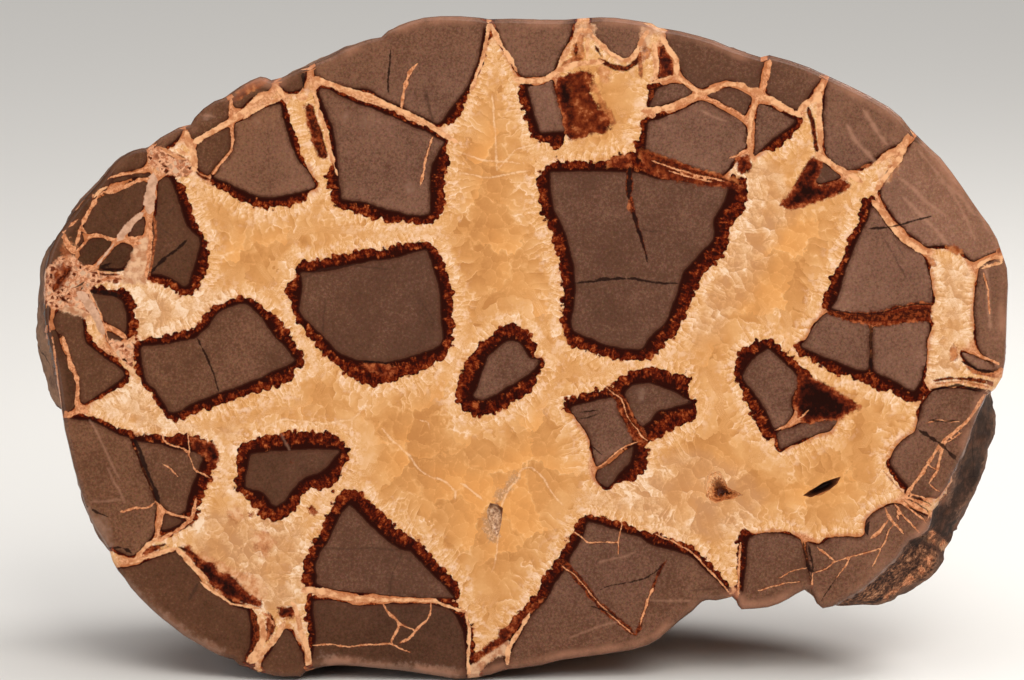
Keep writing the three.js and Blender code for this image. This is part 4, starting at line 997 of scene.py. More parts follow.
# %% Node helper
def colour(value):
    """A colour picker's three numbers as the linear colour of a node. An output stays as it is."""
    if isinstance(value, bpy.types.NodeSocket):
        return value
    shares = [c / 255 for c in value]
    return *(c / 12.92 if c <= 0.04045 else ((c + 0.055) / 1.055) ** 2.4 for c in shares), 1.0


class Wiring:
    """Adds nodes to one tree."""

    def __init__(self, tree):
        self.tree = tree

    def node(self, kind, inputs=(), **settings):
        """A node with its settings, its inputs linked to outputs or set to values."""
        made = self.tree.nodes.new(kind)
        for name, value in settings.items():
            setattr(made, name, value)
        for name, value in dict(inputs).items():
            if isinstance(value, bpy.types.NodeSocket):
                self.tree.links.new(value, made.inputs[name])
            else:
                made.inputs[name].default_value = value
        return made

    def math(self, operation, a, b=0.0, clamp=False):
        return self.node("ShaderNodeMath", {0: a, 1: b}, operation=operation, use_clamp=clamp).outputs[0]

    def add(self, *values):
        """The sum of two or more values."""
        first, *rest = values
        for value in rest:
            first = self.math("ADD", first, value)
        return first

    def times(self, a, b):
        return self.math("MULTIPLY", a, b)

    def swing(self, value, amount, middle=0.5):
        """A value such as noise, moved so that its middle is 0, and stretched."""
        return self.times(self.math("SUBTRACT", value, middle), amount)

    def mix(self, factor, a, b, blend="MIX"):
        """Colour a where the factor is 0, colour b where it is 1."""
        made = self.node("ShaderNodeMix", {0: factor, 6: colour(a), 7: colour(b)},
                         data_type="RGBA", blend_type=blend)
        return made.outputs[2]

    def between(self, factor, a, b):
        """The same for two numbers."""
        return self.node("ShaderNodeMix", {0: factor, 2: a, 3: b}).outputs[0]

    def step(self, value, low, high, to_low=0.0, to_high=1.0):
        """0 below low, 1 above high and smooth between. low above high turns it round."""
        if low > high:
            low, high, to_low, to_high = high, low, to_high, to_low
        return self.node("ShaderNodeMapRange", {"Value": value, "From Min": low, "From Max": high,
                         "To Min": to_low, "To Max": to_high}, interpolation_type="SMOOTHSTEP").outputs[0]

    def ramp(self, value, *stops):
        """Colours along a value. Each stop is its position and a colour picker's three numbers."""
        made = self.node("ShaderNodeValToRGB", {"Fac": value})
        ramp = made.color_ramp
        while len(ramp.elements) < len(stops):
            ramp.elements.new(0.5)
        for element, (at, *rgb) in zip(ramp.elements, stops):
            element.position, element.color = at, colour(rgb)
        return made.outputs["Color"]

    def attribute(self, name, output="Fac"):
        return self.node("ShaderNodeAttribute", attribute_name=name).outputs[output]

    def place_mm(self):
        """Object coordinates in millimetres."""
        return self.vector("SCALE", self.node("ShaderNodeTexCoord").outputs["Object"], 1000.0)

    def vector(self, operation, a, b):
        """A sum of two vectors and the like, as a vector or, for a distance or product, a number."""
        made = self.node("ShaderNodeVectorMath", {0: a, "Scale" if operation == "SCALE" else 1: b},
                         operation=operation)
        return made.outputs["Value" if operation in ("DISTANCE", "DOT_PRODUCT") else "Vector"]

    def apart(self, where):
        """The three numbers of a vector."""
        return self.node("ShaderNodeSeparateXYZ", {0: where}).outputs

    def joined(self, x, y):
        """Two numbers as a vector."""
        return self.node("ShaderNodeCombineXYZ", {0: x, 1: y}).outputs[0]

    def red_share(self, tint):
        """The red share of a colour, as a number."""
        return self.node("ShaderNodeSeparateColor", {0: tint}).outputs[0]

    def noise(self, where, size, detail=3.0, roughness=0.55, output="Fac"):
        """Noise from about 0.2 to 0.8 with lumps of the given size in mm."""
        return self.node("ShaderNodeTexNoise", {"Vector": where, "Scale": 1.0 / size, "Detail": detail,
                         "Roughness": roughness}).outputs[output]

    def cells(self, where, scale, feature="F1"):
        """Cells scattered over space, so many to a millimetre."""
        return self.node("ShaderNodeTexVoronoi", {"Vector": where, "Scale": scale}, feature=feature).outputs

    def border(self, where, scale):
        """The distance to the nearest border between such cells."""
        return self.cells(where, scale, "DISTANCE_TO_EDGE")["Distance"]

    def send(self, value, end, name):
        """Links an output to a named input of the last node."""
        self.tree.links.new(value, end.inputs[name])


def new_group(name, inputs, outputs):
    """A shader node group with named sockets, its wiring, and its two ends."""
    tree = bpy.data.node_groups.new(name, "ShaderNodeTree")
    for label, kind, default in inputs:
        tree.interface.new_socket(label, in_out="INPUT", socket_type=kind).default_value = default
    for label, kind in outputs:
        tree.interface.new_socket(label, in_out="OUTPUT", socket_type=kind)
    wiring = Wiring(tree)
    return tree, wiring, wiring.node("NodeGroupInput"), wiring.node("NodeGroupOutput")


FLOAT, COLOUR = "NodeSocketFloat", "NodeSocketColor"
print("picked 128 is", round(colour((128, 128, 128))[0], 3), "to a node")

# %% [markdown]
# ## Veins and stains, over any ground
# Veins cross mudstone and crack filling alike, so they are one node group that
# takes the ground's colour and gives it back with the stains and veins laid on.
# In mudstone a healed vein has a thin rusty edge, in the filling it has none.

# %% What stains and veins are made of
veined, w, ground, ends = new_group("veins_and_stains", [("Ground", COLOUR, (0, 0, 0, 1)),
                                    ("Edges", FLOAT, 1.0)], [("Color", COLOUR)])
at = w.place_mm()
ragged = w.math("SUBTRACT", w.noise(at, 1.1, 4.0, 0.7), 0.5)
fine = w.math("SUBTRACT", w.noise(at, 0.45, 3.0, 0.65), 0.5)
speck = w.noise(at, 0.8, 3.0, 0.7)
blots = w.noise(at, 1.0, 2.0, 0.5)
wide_speck = w.noise(at, 1.7, 3.0, 0.6)
peach = w.mix(w.step(wide_speck, 0.38, 0.62), (182, 122, 86), (222, 176, 138))
crumbs = w.ramp(w.add(w.times(w.red_share(w.cells(at, 0.85)["Color"]), 0.6), w.times(blots, 0.5)),
                (0.2, 44, 14, 8), (0.42, 104, 42, 20), (0.56, 162, 104, 72), (0.75, 208, 166, 134))
between_crumbs = w.step(w.add(w.border(at, 0.85), w.times(fine, 0.35)), 0.26, 0.12)
crumbs = w.mix(between_crumbs, crumbs, w.mix(w.step(speck, 0.4, 0.6), (180, 110, 74), (226, 168, 128)))
rusty = w.ramp(wide_speck, (0.35, 92, 34, 12), (0.5, 156, 76, 34), (0.66, 206, 128, 76))
blush = w.ramp(w.noise(at, 2.4, 3.0, 0.7), (0.36, 228, 176, 134), (0.48, 202, 130, 84),
               (0.62, 152, 78, 42))
frosted = w.ramp(fine, (0.0, 158, 124, 98), (0.05, 184, 148, 118), (0.12, 220, 186, 154))
mass = w.add(w.step(w.attribute("dark_patch"), -2.6, 0.4, -0.10, 0.17),
             w.times(wide_speck, 0.6), w.times(speck, 0.4))
mass = w.ramp(mass, (0.42, 32, 9, 4), (0.52, 64, 19, 8), (0.62, 110, 38, 15), (0.74, 176, 94, 52))
glow = w.ramp(wide_speck, (0.34, 62, 18, 7), (0.48, 104, 36, 13), (0.60, 136, 60, 26),
              (0.72, 196, 118, 70))
print("what they are made of:", len(veined.nodes), "nodes")

# %% The stains, each with its reach in mm and its strength, laid one over the other
def stain(w, ragged, name, reach, strength):
    """How much of a patch shows: inside its outline, with an edge broken by noise."""
    value = w.add(w.attribute(name + "_patch"), w.times(ragged, reach * 4))
    return w.times(w.step(value, reach * 0.5, -reach * 0.7), strength)


col = ground.outputs["Ground"]
for name, reach, strength, paint in (
        ("bleached", 1.6, 0.28, (190, 150, 128)), ("peach", 0.5, 0.9, peach), ("breccia", 0.4, 1.0, crumbs),
        ("rust", 0.5, 0.75, rusty), ("blush", 1.4, 0.7, blush), ("grey", 1.0, 0.6, frosted),
        # The brown along the edges of the pit and the slit is painted shade.
        ("lip", 0.15, 0.85, (150, 84, 44)), ("dark", 0.5, 1.0, mass), ("ember", 1.3, 0.85, glow)):
    col = w.mix(stain(w, ragged, name, reach, strength), col, paint)
print("with the stains:", len(veined.nodes), "nodes")

# %% The veins, each with its strength and half the width of its soft edge in mm
edge = w.mix(w.step(ragged, -0.08, 0.08), (64, 28, 15), (120, 60, 34))
edge_here = w.times(w.step(w.noise(at, 2.6, 2.0), 0.46, 0.62, 0.0, 0.8), ground.outputs["Edges"])
brown = w.mix(w.step(speck, 0.42, 0.66), (60, 18, 7), (134, 56, 24))
rust = w.mix(w.step(speck, 0.4, 0.62), (120, 56, 28), (184, 104, 60))
pale = w.mix(w.step(wide_speck, 0.38, 0.6), (186, 140, 110), (212, 166, 136))
tan = w.mix(w.step(speck, 0.38, 0.6), (178, 106, 66), (224, 156, 110))
cream = w.mix(w.step(wide_speck, 0.36, 0.6), (196, 128, 84), (234, 176, 128))
glints = w.step(ragged, -0.10, 0.06, 0.18, 0.5)
for name, paint, strength, soft in (
        ("brown", brown, 1.0, 0.2), ("rust", rust, 0.85, 0.2), ("faint", (184, 134, 108), 0.46, 0.42),
        ("dusk", (58, 38, 29), 0.5, 0.25), ("pale", pale, 1.0, 0.12), ("tan", tan, 1.0, 0.07),
        # The first seam entry is a painted shadow, a soft brown halo beside each seam; the second is the pale
        # seam line.
        ("cream", cream, 1.0, 0.09), ("seam", (196, 128, 72), 0.28, 0.7),
        ("seam", (250, 214, 174), glints, 0.13), ("black", (30, 14, 9), 0.9, 0.12)):
    value = w.add(w.attribute(name), w.times(fine, 0.5))
    if name in ("pale", "tan", "cream"):
        col = w.mix(w.times(w.step(value, 0.32, 0.06), edge_here), col, edge)
    col = w.mix(w.times(w.step(value, soft, -soft), strength), col, paint)
# A pale band along the rim of the face: partly a worn edge, partly a painted highlight on its rounded edge,
# weaker at the far left.
worn_rim_and_highlight = w.times(w.step(w.add(w.attribute("margin"), w.times(ragged, 1.6)), 1.5, 0.2),
               w.step(w.noise(at, 9.0, 2.0), 0.40, 0.64, 0.05, 0.5))
worn_rim_and_highlight = w.times(worn_rim_and_highlight, w.step(w.times(w.apart(at)[0], -1.0), 62.0, 34.0, 0.2, 1.0))
w.send(w.mix(worn_rim_and_highlight, col, (178, 124, 97)), ends, "Color")
print("veins and stains:", len(veined.nodes), "nodes")


# %% Lay a colour through the group and into a shader
def finish_face(w, shader, ground, edges):
    """Base colour with veins and stains over it. edges is 1 in mudstone and 0 in the filling."""
    laid = w.node("ShaderNodeGroup", node_tree=veined)
    w.send(ground, laid, "Ground")
    laid.inputs["Edges"].default_value = edges
    w.send(laid.outputs["Color"], shader, "Base Color")
    shader.inputs["Specular IOR Level"].default_value = 0.2


def new_material(name, roughness=0.5, shine=0.5):
    """An empty material with its wiring and its shader."""
    made = bpy.data.materials.new(name)
    made.use_nodes = True
    made.node_tree.nodes.clear()
    wiring = Wiring(made.node_tree)
    shader = wiring.node("ShaderNodeBsdfPrincipled", {"Roughness": roughness, "Specular IOR Level": shine})
    wiring.node("ShaderNodeOutputMaterial", {"Surface": shader.outputs[0]})
    return made, wiring, shader


print("the group takes and gives:", [item.name for item in veined.interface.items_tree])


# %% [markdown]
# ## The mudstone finish
# Polished mudstone is a fine grey-brown with a soft mottle and tiny grains. The
# iron that seeped in from the crack left a dark line right at each wall and a
# brown halo behind it.

# %% Polished mudstone
mudstone, w, shader = new_material("polished_mudstone")
at = w.place_mm()
mottle, cloud = w.noise(at, 14.0, 3.0, 0.6), w.noise(at, 4.0, 4.0, 0.65)
grain = w.noise(at, 0.55, 3.0, 0.75)
tone = w.add(w.attribute("shade"), w.swing(mottle, 0.42), w.swing(cloud, 0.26), w.swing(grain, 0.85))
grey = w.ramp(w.times(tone, 0.75), (0.0, 56, 33, 22), (0.22, 74, 47, 33), (0.45, 96, 64, 49),
              (0.71, 136, 97, 79), (0.96, 170, 126, 107))
# The mudstone is tinted warmer and a touch darker towards the left, which is painted shade, and a little near
# the rim.
leftward = w.times(w.apart(at)[0], -1.0)
warm_tint_and_shade = w.math("ADD", w.step(leftward, 0.0, 60.0, 0.25, 0.9),
              w.step(w.attribute("margin"), 14.0, 3.0, 0.0, 0.3), clamp=True)
grey = w.mix(warm_tint_and_shade, grey, (255, 245, 222), "MULTIPLY")
grey = w.mix(0.28, grey, w.noise(at, 0.3125, 1.0, 0.6, "Color"), "SOFT_LIGHT")
wall_at = w.add(w.attribute("wall"), w.swing(w.noise(at, 0.7), 0.3))
fringed = w.step(w.attribute("thick"), 0.5, 1.1)
patchy = w.step(w.noise(at, 3.0, 2.0), 0.40, 0.58)
halo = w.times(w.step(wall_at, 1.0, 0.15, 0.0, 0.55), w.math("MAXIMUM", fringed, patchy))
wall_line = w.times(w.step(wall_at, 0.22, 0.06, 0.0, 0.85),
                    w.math("MAXIMUM", fringed, w.times(patchy, 0.55)))
grey = w.mix(halo, grey, (78, 38, 23))
grey = w.mix(wall_line, grey, (44, 17, 9))
finish_face(w, shader, grey, 1.0)
w.send(w.add(0.16, w.times(grain, 0.14)), shader, "Roughness")
print("mudstone:", len(mudstone.node_tree.nodes), "nodes")

# %% [markdown]
# ## The crack filling
# Aragonite needles stand on the wall, nearly black at their roots and rust at
# their tips, where they end in a ragged fringe. Beyond them sugary cream calcite
# passes into large honey crystals that grew straight out from the wall. Cells
# laid out along the wall and away from it give each crystal its own tone.

# %% Aragonite
filling, w, shader = new_material("aragonite_and_calcite")
at = w.place_mm()
run, past, share = w.apart(w.attribute("wall_map", "Vector"))
thickness = w.attribute("thick")
grit = w.noise(at, 0.5, 3.0, 0.7)
clump = w.noise(at, 1.5, 3.0, 0.6)
knob = w.cells(at, 0.72)["Distance"]
needles = w.noise(w.joined(w.times(run, 2.4), w.times(past, 0.7)), 1.0, 2.0, 0.6)
tips = w.times(w.add(w.swing(knob, 1.5, 0.42), w.swing(grit, 0.8)), w.step(thickness, 0.2, 2.2, 0.15, 1.0))
tip_at = w.add(past, 0.10, tips)
core = w.step(w.add(share, w.swing(clump, 1.4), w.swing(needles, 0.5)), 0.20, 0.50)
red = w.add(w.times(clump, 0.45), w.times(needles, 0.3), w.times(grit, 0.4), w.times(knob, -0.12))
crust = w.ramp(red, (0.43, 38, 6, 2), (0.52, 80, 19, 5), (0.59, 120, 42, 13), (0.69, 182, 98, 50))
aragonite = w.mix(core, (42, 9, 3), crust)
print("aragonite:", len(filling.node_tree.nodes), "nodes")

# %% Cells like cut crystals
jig = w.noise(at, 2.0, 2.0, 0.5, "Color")


def shaken(where, amount):
    """A place pushed about by noise, so that cell borders aren't straight."""
    return w.vector("ADD", where, w.vector("SCALE", jig, amount))


def facets(where, scale, slant):
    """Each cell has its own tone, which rises to one side as painted light on the facet, and a pale border."""
    body = w.cells(where, scale)
    painted_facet_light = w.vector("DOT_PRODUCT", w.vector("SUBTRACT", where, body["Position"]), slant)
    return w.add(w.red_share(body["Color"]), w.times(painted_facet_light, scale)), w.step(w.border(where, scale), 0.07, 0.0)


def crystals(across, outward):
    """Facets stretched away from the wall, so many to a millimetre along it and out from it."""
    laid = w.joined(w.times(run, across), w.times(past, outward))
    return facets(shaken(laid, 0.7), 1.0, (1.1, 0.5, 0.0))


small_tone, small_edge = crystals(1.15, 0.40)
large_tone, large_edge = crystals(0.45, 0.16)
slab_tone, slab_edge = facets(shaken(at, 4.0), 0.105, (0.9, 0.0, -1.1))
flake_tone, flake_edge = facets(shaken(at, 1.6), 0.36, (0.8, 0.0, 0.9))
print("with crystal cells:", len(filling.node_tree.nodes), "nodes")

# %% Calcite, from small crystals near the wall to large ones far out
sugar = w.noise(at, 0.55, 3.0, 0.75)
drift = w.math("SUBTRACT", w.noise(at, 6.0, 2.0), 0.5)
some_edges = w.step(w.noise(at, 4.0, 2.0), 0.44, 0.56)
outward = w.add(past, w.times(drift, 5.0))
near, middle = w.step(outward, 3.4, 1.4), w.step(outward, 8.0, 4.5)
tone_far = w.add(w.times(slab_tone, 0.15), w.times(w.times(slab_edge, some_edges), 0.26),
                 w.times(flake_tone, 0.13),
                 w.times(w.times(flake_edge, w.step(sugar, 0.40, 0.56)), 0.20), 0.07)
tone_mid = w.add(w.times(large_tone, 0.30), w.times(w.times(large_edge, some_edges), 0.35),
                 w.times(slab_tone, 0.10), 0.14)
tone_near = w.add(w.times(small_tone, 0.36), w.times(small_edge, 0.22), w.swing(sugar, 0.9, 0.42), 0.30)
tone = w.add(w.between(near, w.between(middle, tone_far, tone_mid), tone_near),
             w.times(drift, 0.45), w.swing(sugar, 0.28))
honey = w.ramp(tone, (0.0, 212, 142, 78), (0.28, 225, 156, 88), (0.55, 232, 167, 101),
               (0.8, 238, 184, 128), (1.0, 244, 202, 156))
sugary = w.ramp(tone, (0.0, 190, 128, 72), (0.28, 208, 146, 86), (0.55, 221, 164, 106),
                (0.8, 232, 184, 138), (1.0, 244, 210, 178))
grainy = w.add(tone, w.swing(grit, 0.8), w.swing(flake_tone, 0.34, 0.55))
milky = w.ramp(grainy, (0.1, 194, 140, 96), (0.38, 216, 164, 116), (0.6, 230, 186, 144),
               (0.85, 244, 214, 184))
heart = w.step(w.add(outward, w.swing(slab_tone, 6.0)), 17.0, 5.0)
frost = w.times(w.step(w.noise(at, 1.6, 3.0, 0.7), 0.50, 0.66), w.step(outward, 5.0, 0.8, 0.0, 0.75))
milk = w.times(w.step(w.add(w.attribute("milky_patch"), w.times(drift, 8.0)), 2.5, -2.0, 0.0, 0.85),
               w.step(drift, -0.12, 0.06, 0.55, 1.0))
calcite = w.mix(heart, honey, sugary)
calcite = w.mix(frost, calcite, (238, 198, 166))
calcite = w.mix(milk, calcite, milky)
print("with calcite:", len(filling.node_tree.nodes), "nodes")

# %% Where the crack is narrow or its wall bare, and both minerals together
channel = w.attribute("channel")
peach = w.mix(w.step(sugar, 0.36, 0.62), (180, 112, 72), (224, 162, 118))
stained = w.step(w.add(past, w.swing(clump, 2.0)), 0.9, 0.0, 0.0, 0.7)
scorch = w.times(w.step(tip_at, 0.5, 0.0, 0.0, 0.55), w.step(clump, 0.40, 0.6))
wall_line = w.times(w.step(w.attribute("wall"), 0.20, 0.06), w.step(thickness, 1.1, 0.5, 0.8, 0.35))
calcite = w.mix(w.step(channel, 4.6, 2.6), calcite, peach)
calcite = w.mix(w.step(channel, 1.3, 0.8, 0.0, 0.9), calcite, (60, 26, 14))
calcite = w.mix(w.times(stained, w.step(thickness, 0.8, 0.4)), calcite, (176, 98, 54))
calcite = w.mix(scorch, calcite, (196, 120, 70))
col = w.mix(w.step(tip_at, -0.08, 0.10), aragonite, calcite)
col = w.mix(wall_line, col, (56, 24, 13))
finish_face(w, shader, col, 0.0)
w.send(w.add(0.10, w.times(sugar, 0.16)), shader, "Roughness")
print("filling:", len(filling.node_tree.nodes), "nodes")

# %% [markdown]
# ## The rind
# The outside was never cut. It is a dull, sandy brown skin with ochre blotches,
# and the veins that reach it weather out as tan lines in its grooves. At the
# lower right a corner has broken off, which shows coarse dark grains, cream
# crumbs and a crust of orange calcite.

# %% The skin of the rind
weathered, w, shader = new_material("weathered_rind", 0.85, 0.25)
at = w.place_mm()
big, mid = w.noise(at, 16.0, 4.0, 0.6), w.noise(at, 3.2, 4.0, 0.65)
small = w.noise(at, 0.6, 3.0, 0.75)
ragged = w.math("SUBTRACT", w.noise(at, 1.1, 4.0, 0.7), 0.5)
col = w.ramp(w.add(w.times(big, 0.5), w.times(mid, 0.4), w.times(small, 0.4)),
             (0.44, 48, 30, 22), (0.58, 84, 56, 42), (0.70, 118, 84, 66), (0.86, 164, 124, 102))
sandy = w.times(w.step(w.noise(at, 26.0, 3.0, 0.6), 0.44, 0.60), w.step(mid, 0.34, 0.62, 0.3, 0.75))
col = w.mix(sandy, col, w.mix(small, (120, 84, 60), (176, 136, 106)))
col = w.mix(w.step(w.noise(at, 11.0, 4.0, 0.7), 0.54, 0.66, 0.0, 0.55), col, (128, 70, 38))
col = w.mix(w.step(mid, 0.56, 0.70, 0.0, 0.35), col, (146, 88, 52))
col = w.mix(w.step(small, 0.62, 0.74, 0.0, 0.35), col, (196, 156, 130))
print("skin:", len(weathered.node_tree.nodes), "nodes")

# %% Hair cracks, and the calcite in the grooves
push = w.noise(at, 25 / 3, 2.0, 0.5, "Color")
hair = w.times(w.step(w.border(w.vector("ADD", at, w.vector("SCALE", push, 7.0)), 0.075), 0.022, 0.006),
               w.step(w.noise(at, 13.0, 2.0), 0.48, 0.58, 0.0, 0.75))
groove_at = w.add(w.attribute("groove"), w.times(ragged, 2.6), w.swing(w.noise(at, 8.0, 3.0, 0.6), 5.0))
vein = w.mix(w.step(mid, 0.38, 0.6), (142, 88, 54), (204, 156, 118))
vein = w.mix(w.step(small, 0.56, 0.44, 0.0, 0.5), vein, (104, 58, 34))
vein_here = w.times(w.step(groove_at, 0.9, 0.2), w.step(w.noise(at, 9.0, 2.0), 0.38, 0.52))
col = w.mix(hair, col, (44, 24, 16))
col = w.mix(w.step(groove_at, 3.2, 1.0, 0.0, 0.65), col, (60, 32, 20))
col = w.mix(vein_here, col, vein)
print("with cracks:", len(weathered.node_tree.nodes), "nodes")

# %% The broken corner
grains = w.add(w.times(w.noise(at, 0.7, 3.0, 0.65), 0.7), w.times(w.noise(at, 3.2, 3.0, 0.6), 0.4))
broken = w.ramp(grains, (0.40, 22, 10, 6), (0.50, 60, 34, 23), (0.57, 98, 62, 42), (0.64, 140, 92, 64),
                (0.76, 206, 152, 114))
dusk = w.mix(w.step(mid, 0.45, 0.62), (24, 13, 8), (70, 42, 28))
orange = w.mix(w.step(small, 0.38, 0.6), (140, 72, 40), (220, 150, 106))
lumpy = w.step(w.noise(at, 2.2, 3.0, 0.6), 0.44, 0.54, 0.1, 1.0)
col = w.mix(stain(w, ragged, "fracture", 0.4, 1.0), col, broken)
col = w.mix(stain(w, ragged, "shadow", 0.7, 0.8), col, dusk)
col = w.mix(w.times(stain(w, ragged, "crust", 0.6, 1.0), lumpy), col, orange)
w.send(col, shader, "Base Color")
bump = w.node("ShaderNodeBump", {"Height": w.add(w.times(mid, 0.6), w.times(small, 0.4)),
                                 "Strength": 0.5, "Distance": 0.0006})
w.send(bump.outputs[0], shader, "Normal")
print("rind:", len(weathered.node_tree.nodes), "nodes")

# %% The walls of the open pits
DARKEST = to_stone(724, 497, 0.003) * 1000


def pit_brown_and_painted_shade(w, at):
    """The brown of the open pit, with painted shade: nearly black at its lowest corner, pale away from it."""
    away = w.add(w.vector("DISTANCE", at, DARKEST), w.swing(w.noise(at, 0.7, 3.0, 0.7), 2.0))
    return w.ramp(w.times(away, 0.16), (0.10, 50, 17, 6), (0.24, 128, 58, 22), (0.38, 186, 108, 54),
                  (0.55, 222, 158, 100), (0.75, 242, 194, 142))


lining, w, shader = new_material("pit_walls", 0.45)
at = w.place_mm()
sugar = w.noise(at, 0.6, 3.0, 0.7)
# The walls darken with depth and towards the lowest corner, which is painted shade in the hollow.
deep_at = w.add(w.attribute("depth"), w.swing(sugar, 1.6))
col = w.ramp(w.times(deep_at, 0.2), (0.0, 170, 100, 54), (0.14, 104, 54, 26), (0.45, 48, 20, 9))
col = w.mix(w.step(w.vector("DISTANCE", at, DARKEST), 9.0, 7.5), col, pit_brown_and_painted_shade(w, at))
frosted = w.ramp(sugar, (0.36, 140, 92, 58), (0.5, 196, 150, 110), (0.64, 240, 206, 172))
w.send(w.mix(w.step(w.attribute("grey_patch"), 0.6, -0.2), col, frosted), shader, "Base Color")
print("pit walls:", len(lining.node_tree.nodes), "nodes")

# %% Give the stone its finishes and its place
for material in (mudstone, filling, weathered, lining):
    stone_mesh.materials.append(material)
print("materials:", [m.name for m in stone_mesh.materials])
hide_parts("nodule")
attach(stone, "root")

# %% [markdown]
# ## The crystals in the open pit
# The open pit is lined with small pointed calcite crystals, brown with iron and
# painted darker towards the pit's lowest corner as shade. A thin bed follows the
# pit's wall, and Geometry Nodes scatter one five-sided point over it, each turned
# and sized by chance, so changing one number regrows them.

# %% The bed of the crystals
PIT_DEEPEST, TO_WALL, SHALLOWER = np.array([723.0, 492.0]), 1.24, 0.85
MOUTH_DEPTH, BED_EDGE, HALF_WAY = 0.0007, 0.0007, 0.0015
middle_of_pit = to_stone(*PIT_DEEPEST.tolist(), HALF_WAY)
bed = bmesh.new()
bed.from_mesh(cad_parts["pit_crystals"].data)
bmesh.ops.remove_doubles(bed, verts=bed.verts, dist=1e-6)
for v in bed.verts:
    *across, depth = to_drawing([v.co])[0]
    wider = PIT_DEEPEST + TO_WALL * (across - PIT_DEEPEST)
    v.co = to_stone(*wider.tolist(), MOUTH_DEPTH + SHALLOWER * float(depth))
bmesh.ops.subdivide_edges(bed, edges=[e for e in bed.edges if e.calc_length() > BED_EDGE], cuts=1)
bmesh.ops.triangulate(bed, faces=bed.faces)
bed.normal_update()
bed_mesh = bpy.data.meshes.new("crystal_bed")
bed.to_mesh(bed_mesh)


def turned_away(face):
    """Whether a face of the bed looks away from the pit, so that nothing grows on it."""
    at = face.calc_center_median()
    return (face.normal.dot(middle_of_pit - at) < 0 and face.normal.dot(INTO_STONE) > -0.5
            and to_drawing([at])[0, 2] > MOUTH_DEPTH + 0.0002)


bmesh.ops.delete(bed, geom=[f for f in bed.faces if turned_away(f)], context="FACES")
where_they_grow = bpy.data.meshes.new("crystal_sites")
bed.to_mesh(where_they_grow)
bed.free()
print("bed:", len(bed_mesh.polygons), "triangles; crystals grow on", len(where_they_grow.polygons))

# %% The node tree that grows them
growth = bpy.data.node_groups.new("grow_crystals", "GeometryNodeTree")
sockets = {}
for label, kind, default in (("Sites", "NodeSocketGeometry", None), ("Per square metre", FLOAT, 4.5e6),
                             ("Thickness", FLOAT, 0.00026), ("Length", FLOAT, 0.00065), ("Tilt", FLOAT, 0.6),
                             ("Seed", "NodeSocketInt", 5), ("Finish", "NodeSocketMaterial", None)):
    sockets[label] = growth.interface.new_socket(label, in_out="INPUT", socket_type=kind)
    if default is not None:
        sockets[label].default_value = default
growth.interface.new_socket("Crystals", in_out="OUTPUT", socket_type="NodeSocketGeometry")
g = Wiring(growth)
given, grown = g.node("NodeGroupInput").outputs, g.node("NodeGroupOutput")
sites = g.node("GeometryNodeDistributePointsOnFaces",
               {"Mesh": given["Sites"], "Density": given["Per square metre"], "Seed": given["Seed"]}).outputs
point = g.node("GeometryNodeMeshCone", {"Vertices": 5, "Radius Top": 0.0, "Radius Bottom": given["Thickness"],
                                        "Depth": given["Length"]}).outputs["Mesh"]
least = g.times(given["Tilt"], -1.0)
lean = g.node("FunctionNodeRandomValue", {"Min": least, "Max": given["Tilt"], "Seed": given["Seed"]},
              data_type="FLOAT_VECTOR").outputs["Value"]
lean = g.node("FunctionNodeEulerToRotation", {"Euler": lean}).outputs[0]
turned = g.node("FunctionNodeRotateRotation", {"Rotation": sites["Rotation"], "Rotate By": lean},
                rotation_space="LOCAL").outputs[0]
size = g.node("FunctionNodeRandomValue", {2: 0.45, 3: 1.25, "Seed": given["Seed"]},
              data_type="FLOAT").outputs[1]
set_in = g.node("GeometryNodeInstanceOnPoints", {"Points": sites["Points"], "Instance": point,
                                                 "Rotation": turned, "Scale": size}).outputs[0]
real = g.node("GeometryNodeRealizeInstances", {"Geometry": set_in}).outputs[0]
tinted = g.node("GeometryNodeSetMaterial", {"Geometry": real, "Material": given["Finish"]}).outputs[0]
g.send(tinted, grown, "Crystals")
print("growth tree:", len(growth.nodes), "nodes")

# %% Their finish, and the crust as one mesh
CHOSEN_SEED = 11
sparkle, w, shader = new_material("calcite_crystals", 0.35, 0.2)
w.send(pit_brown_and_painted_shade(w, w.place_mm()), shader, "Base Color")
bed_object = link_new("crystal_sites", where_they_grow)
grower = bed_object.modifiers.new("grow", "NODES")
grower.node_group = growth
grower[sockets["Finish"].identifier] = sparkle
grower[sockets["Seed"].identifier] = CHOSEN_SEED
bpy.context.view_layer.update()
points = bpy.data.meshes.new_from_object(bed_object.evaluated_get(bpy.context.evaluated_depsgraph_get()))
bpy.data.objects.remove(bed_object)
both = bmesh.new()
both.from_mesh(bed_mesh)
both.from_mesh(points)
crust_mesh = bpy.data.meshes.new("pit_crystals_dressed")
both.to_mesh(crust_mesh)
both.free()
crust_mesh.materials.clear()
crust_mesh.materials.append(sparkle)
crust_mesh.polygons.foreach_set("material_index", np.zeros(len(crust_mesh.polygons), np.int32))
crystal_crust = link_new("pit_crystals_dressed", crust_mesh)
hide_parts("pit_crystals")
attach(crystal_crust, "root")
print("crystal crust:", len(crust_mesh.polygons), "faces")

# %% [markdown]
# ## Floor, light and camera
# A pale, plain floor reaches far behind the stone. A soft light from straight
# above keeps it even. One broad lamp above and to the right lights the face, a
# weak one fills from the left, and the camera looks straight at the polished
# face through a long lens.

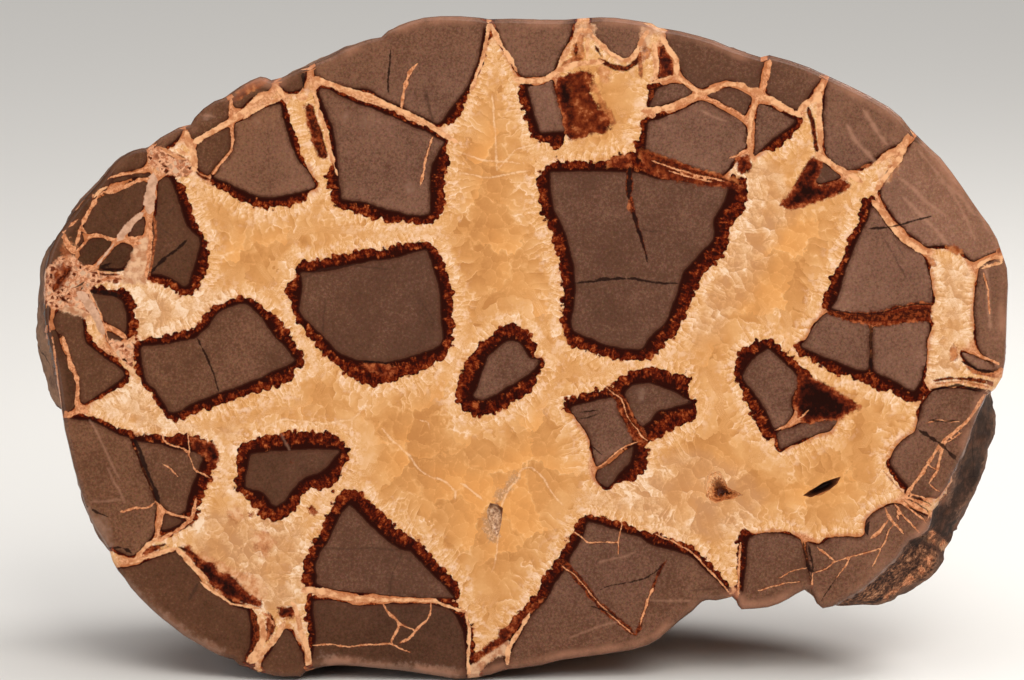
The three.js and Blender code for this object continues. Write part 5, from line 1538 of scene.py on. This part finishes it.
# %% Floor
HALF_FLOOR = 12.0
floor_mesh = bpy.data.meshes.new("pale_floor")
floor_mesh.from_pydata([(x * HALF_FLOOR, y * HALF_FLOOR, 0) for x, y in ((-1, -1), (1, -1), (1, 1), (-1, 1))],
                       [], [(0, 1, 2, 3)])
floor = link_new("pale_floor", floor_mesh)
floor_finish, w, shader = new_material("pale_floor", 0.9)
shader.inputs["Base Color"].default_value = colour((226, 222, 216))
floor_mesh.materials.append(floor_finish)
print("floor:", 2 * HALF_FLOOR, "m wide")


# %% Lamps
def lamp(name, at, size, watts, tint=(1, 1, 1)):
    """A square lamp that faces the middle of the stone's face."""
    data = bpy.data.lights.new(name, "AREA")
    data.size, data.energy, data.color = size, watts, tint
    made = link_new(name, data)
    made.location = at
    made.rotation_euler = (to_stone(MID_U, MID_V) - Vector(at)).to_track_quat("-Z", "Y").to_euler()


lamp("broad_lamp", (0.35, -0.75, 0.85), 0.7, 7.3, (1, 0.98, 0.95))
lamp("fill_lamp", (-0.8, -0.7, 0.35), 0.8, 3.3, (0.97, 0.97, 1))
lamp("edge_lamp", (0.45, 0.25, 0.6), 0.3, 3.0)
overhead = bpy.data.lights.new("overhead", "SUN")
overhead.energy, overhead.angle = 1.7, math.radians(75)
link_new("overhead", overhead)
world = bpy.data.worlds.new("studio_air")
world.use_nodes = True
air = world.node_tree.nodes["Background"].inputs
air["Color"].default_value, air["Strength"].default_value = (0.95, 0.97, 1, 1), 0.10
bpy.context.scene.world = world
bpy.context.scene.view_settings.view_transform = "Standard"

# %% Camera
DRAWING_WIDTH, DRAWING_HEIGHT, FAR, SENSOR = 1024, 680, 0.9, 36
camera_data = bpy.data.cameras.new("camera")
camera_data.sensor_width = SENSOR
camera_data.lens = SENSOR * FAR / (DRAWING_WIDTH * UNIT)
camera_data.clip_start = 0.01
camera = link_new("camera", camera_data)
camera.location = to_stone(DRAWING_WIDTH / 2, DRAWING_HEIGHT / 2, -FAR)
camera.rotation_euler = INTO_STONE.to_track_quat("-Z", "Y").to_euler()
bpy.context.scene.camera = camera
print("lens:", round(camera_data.lens, 1), "mm")
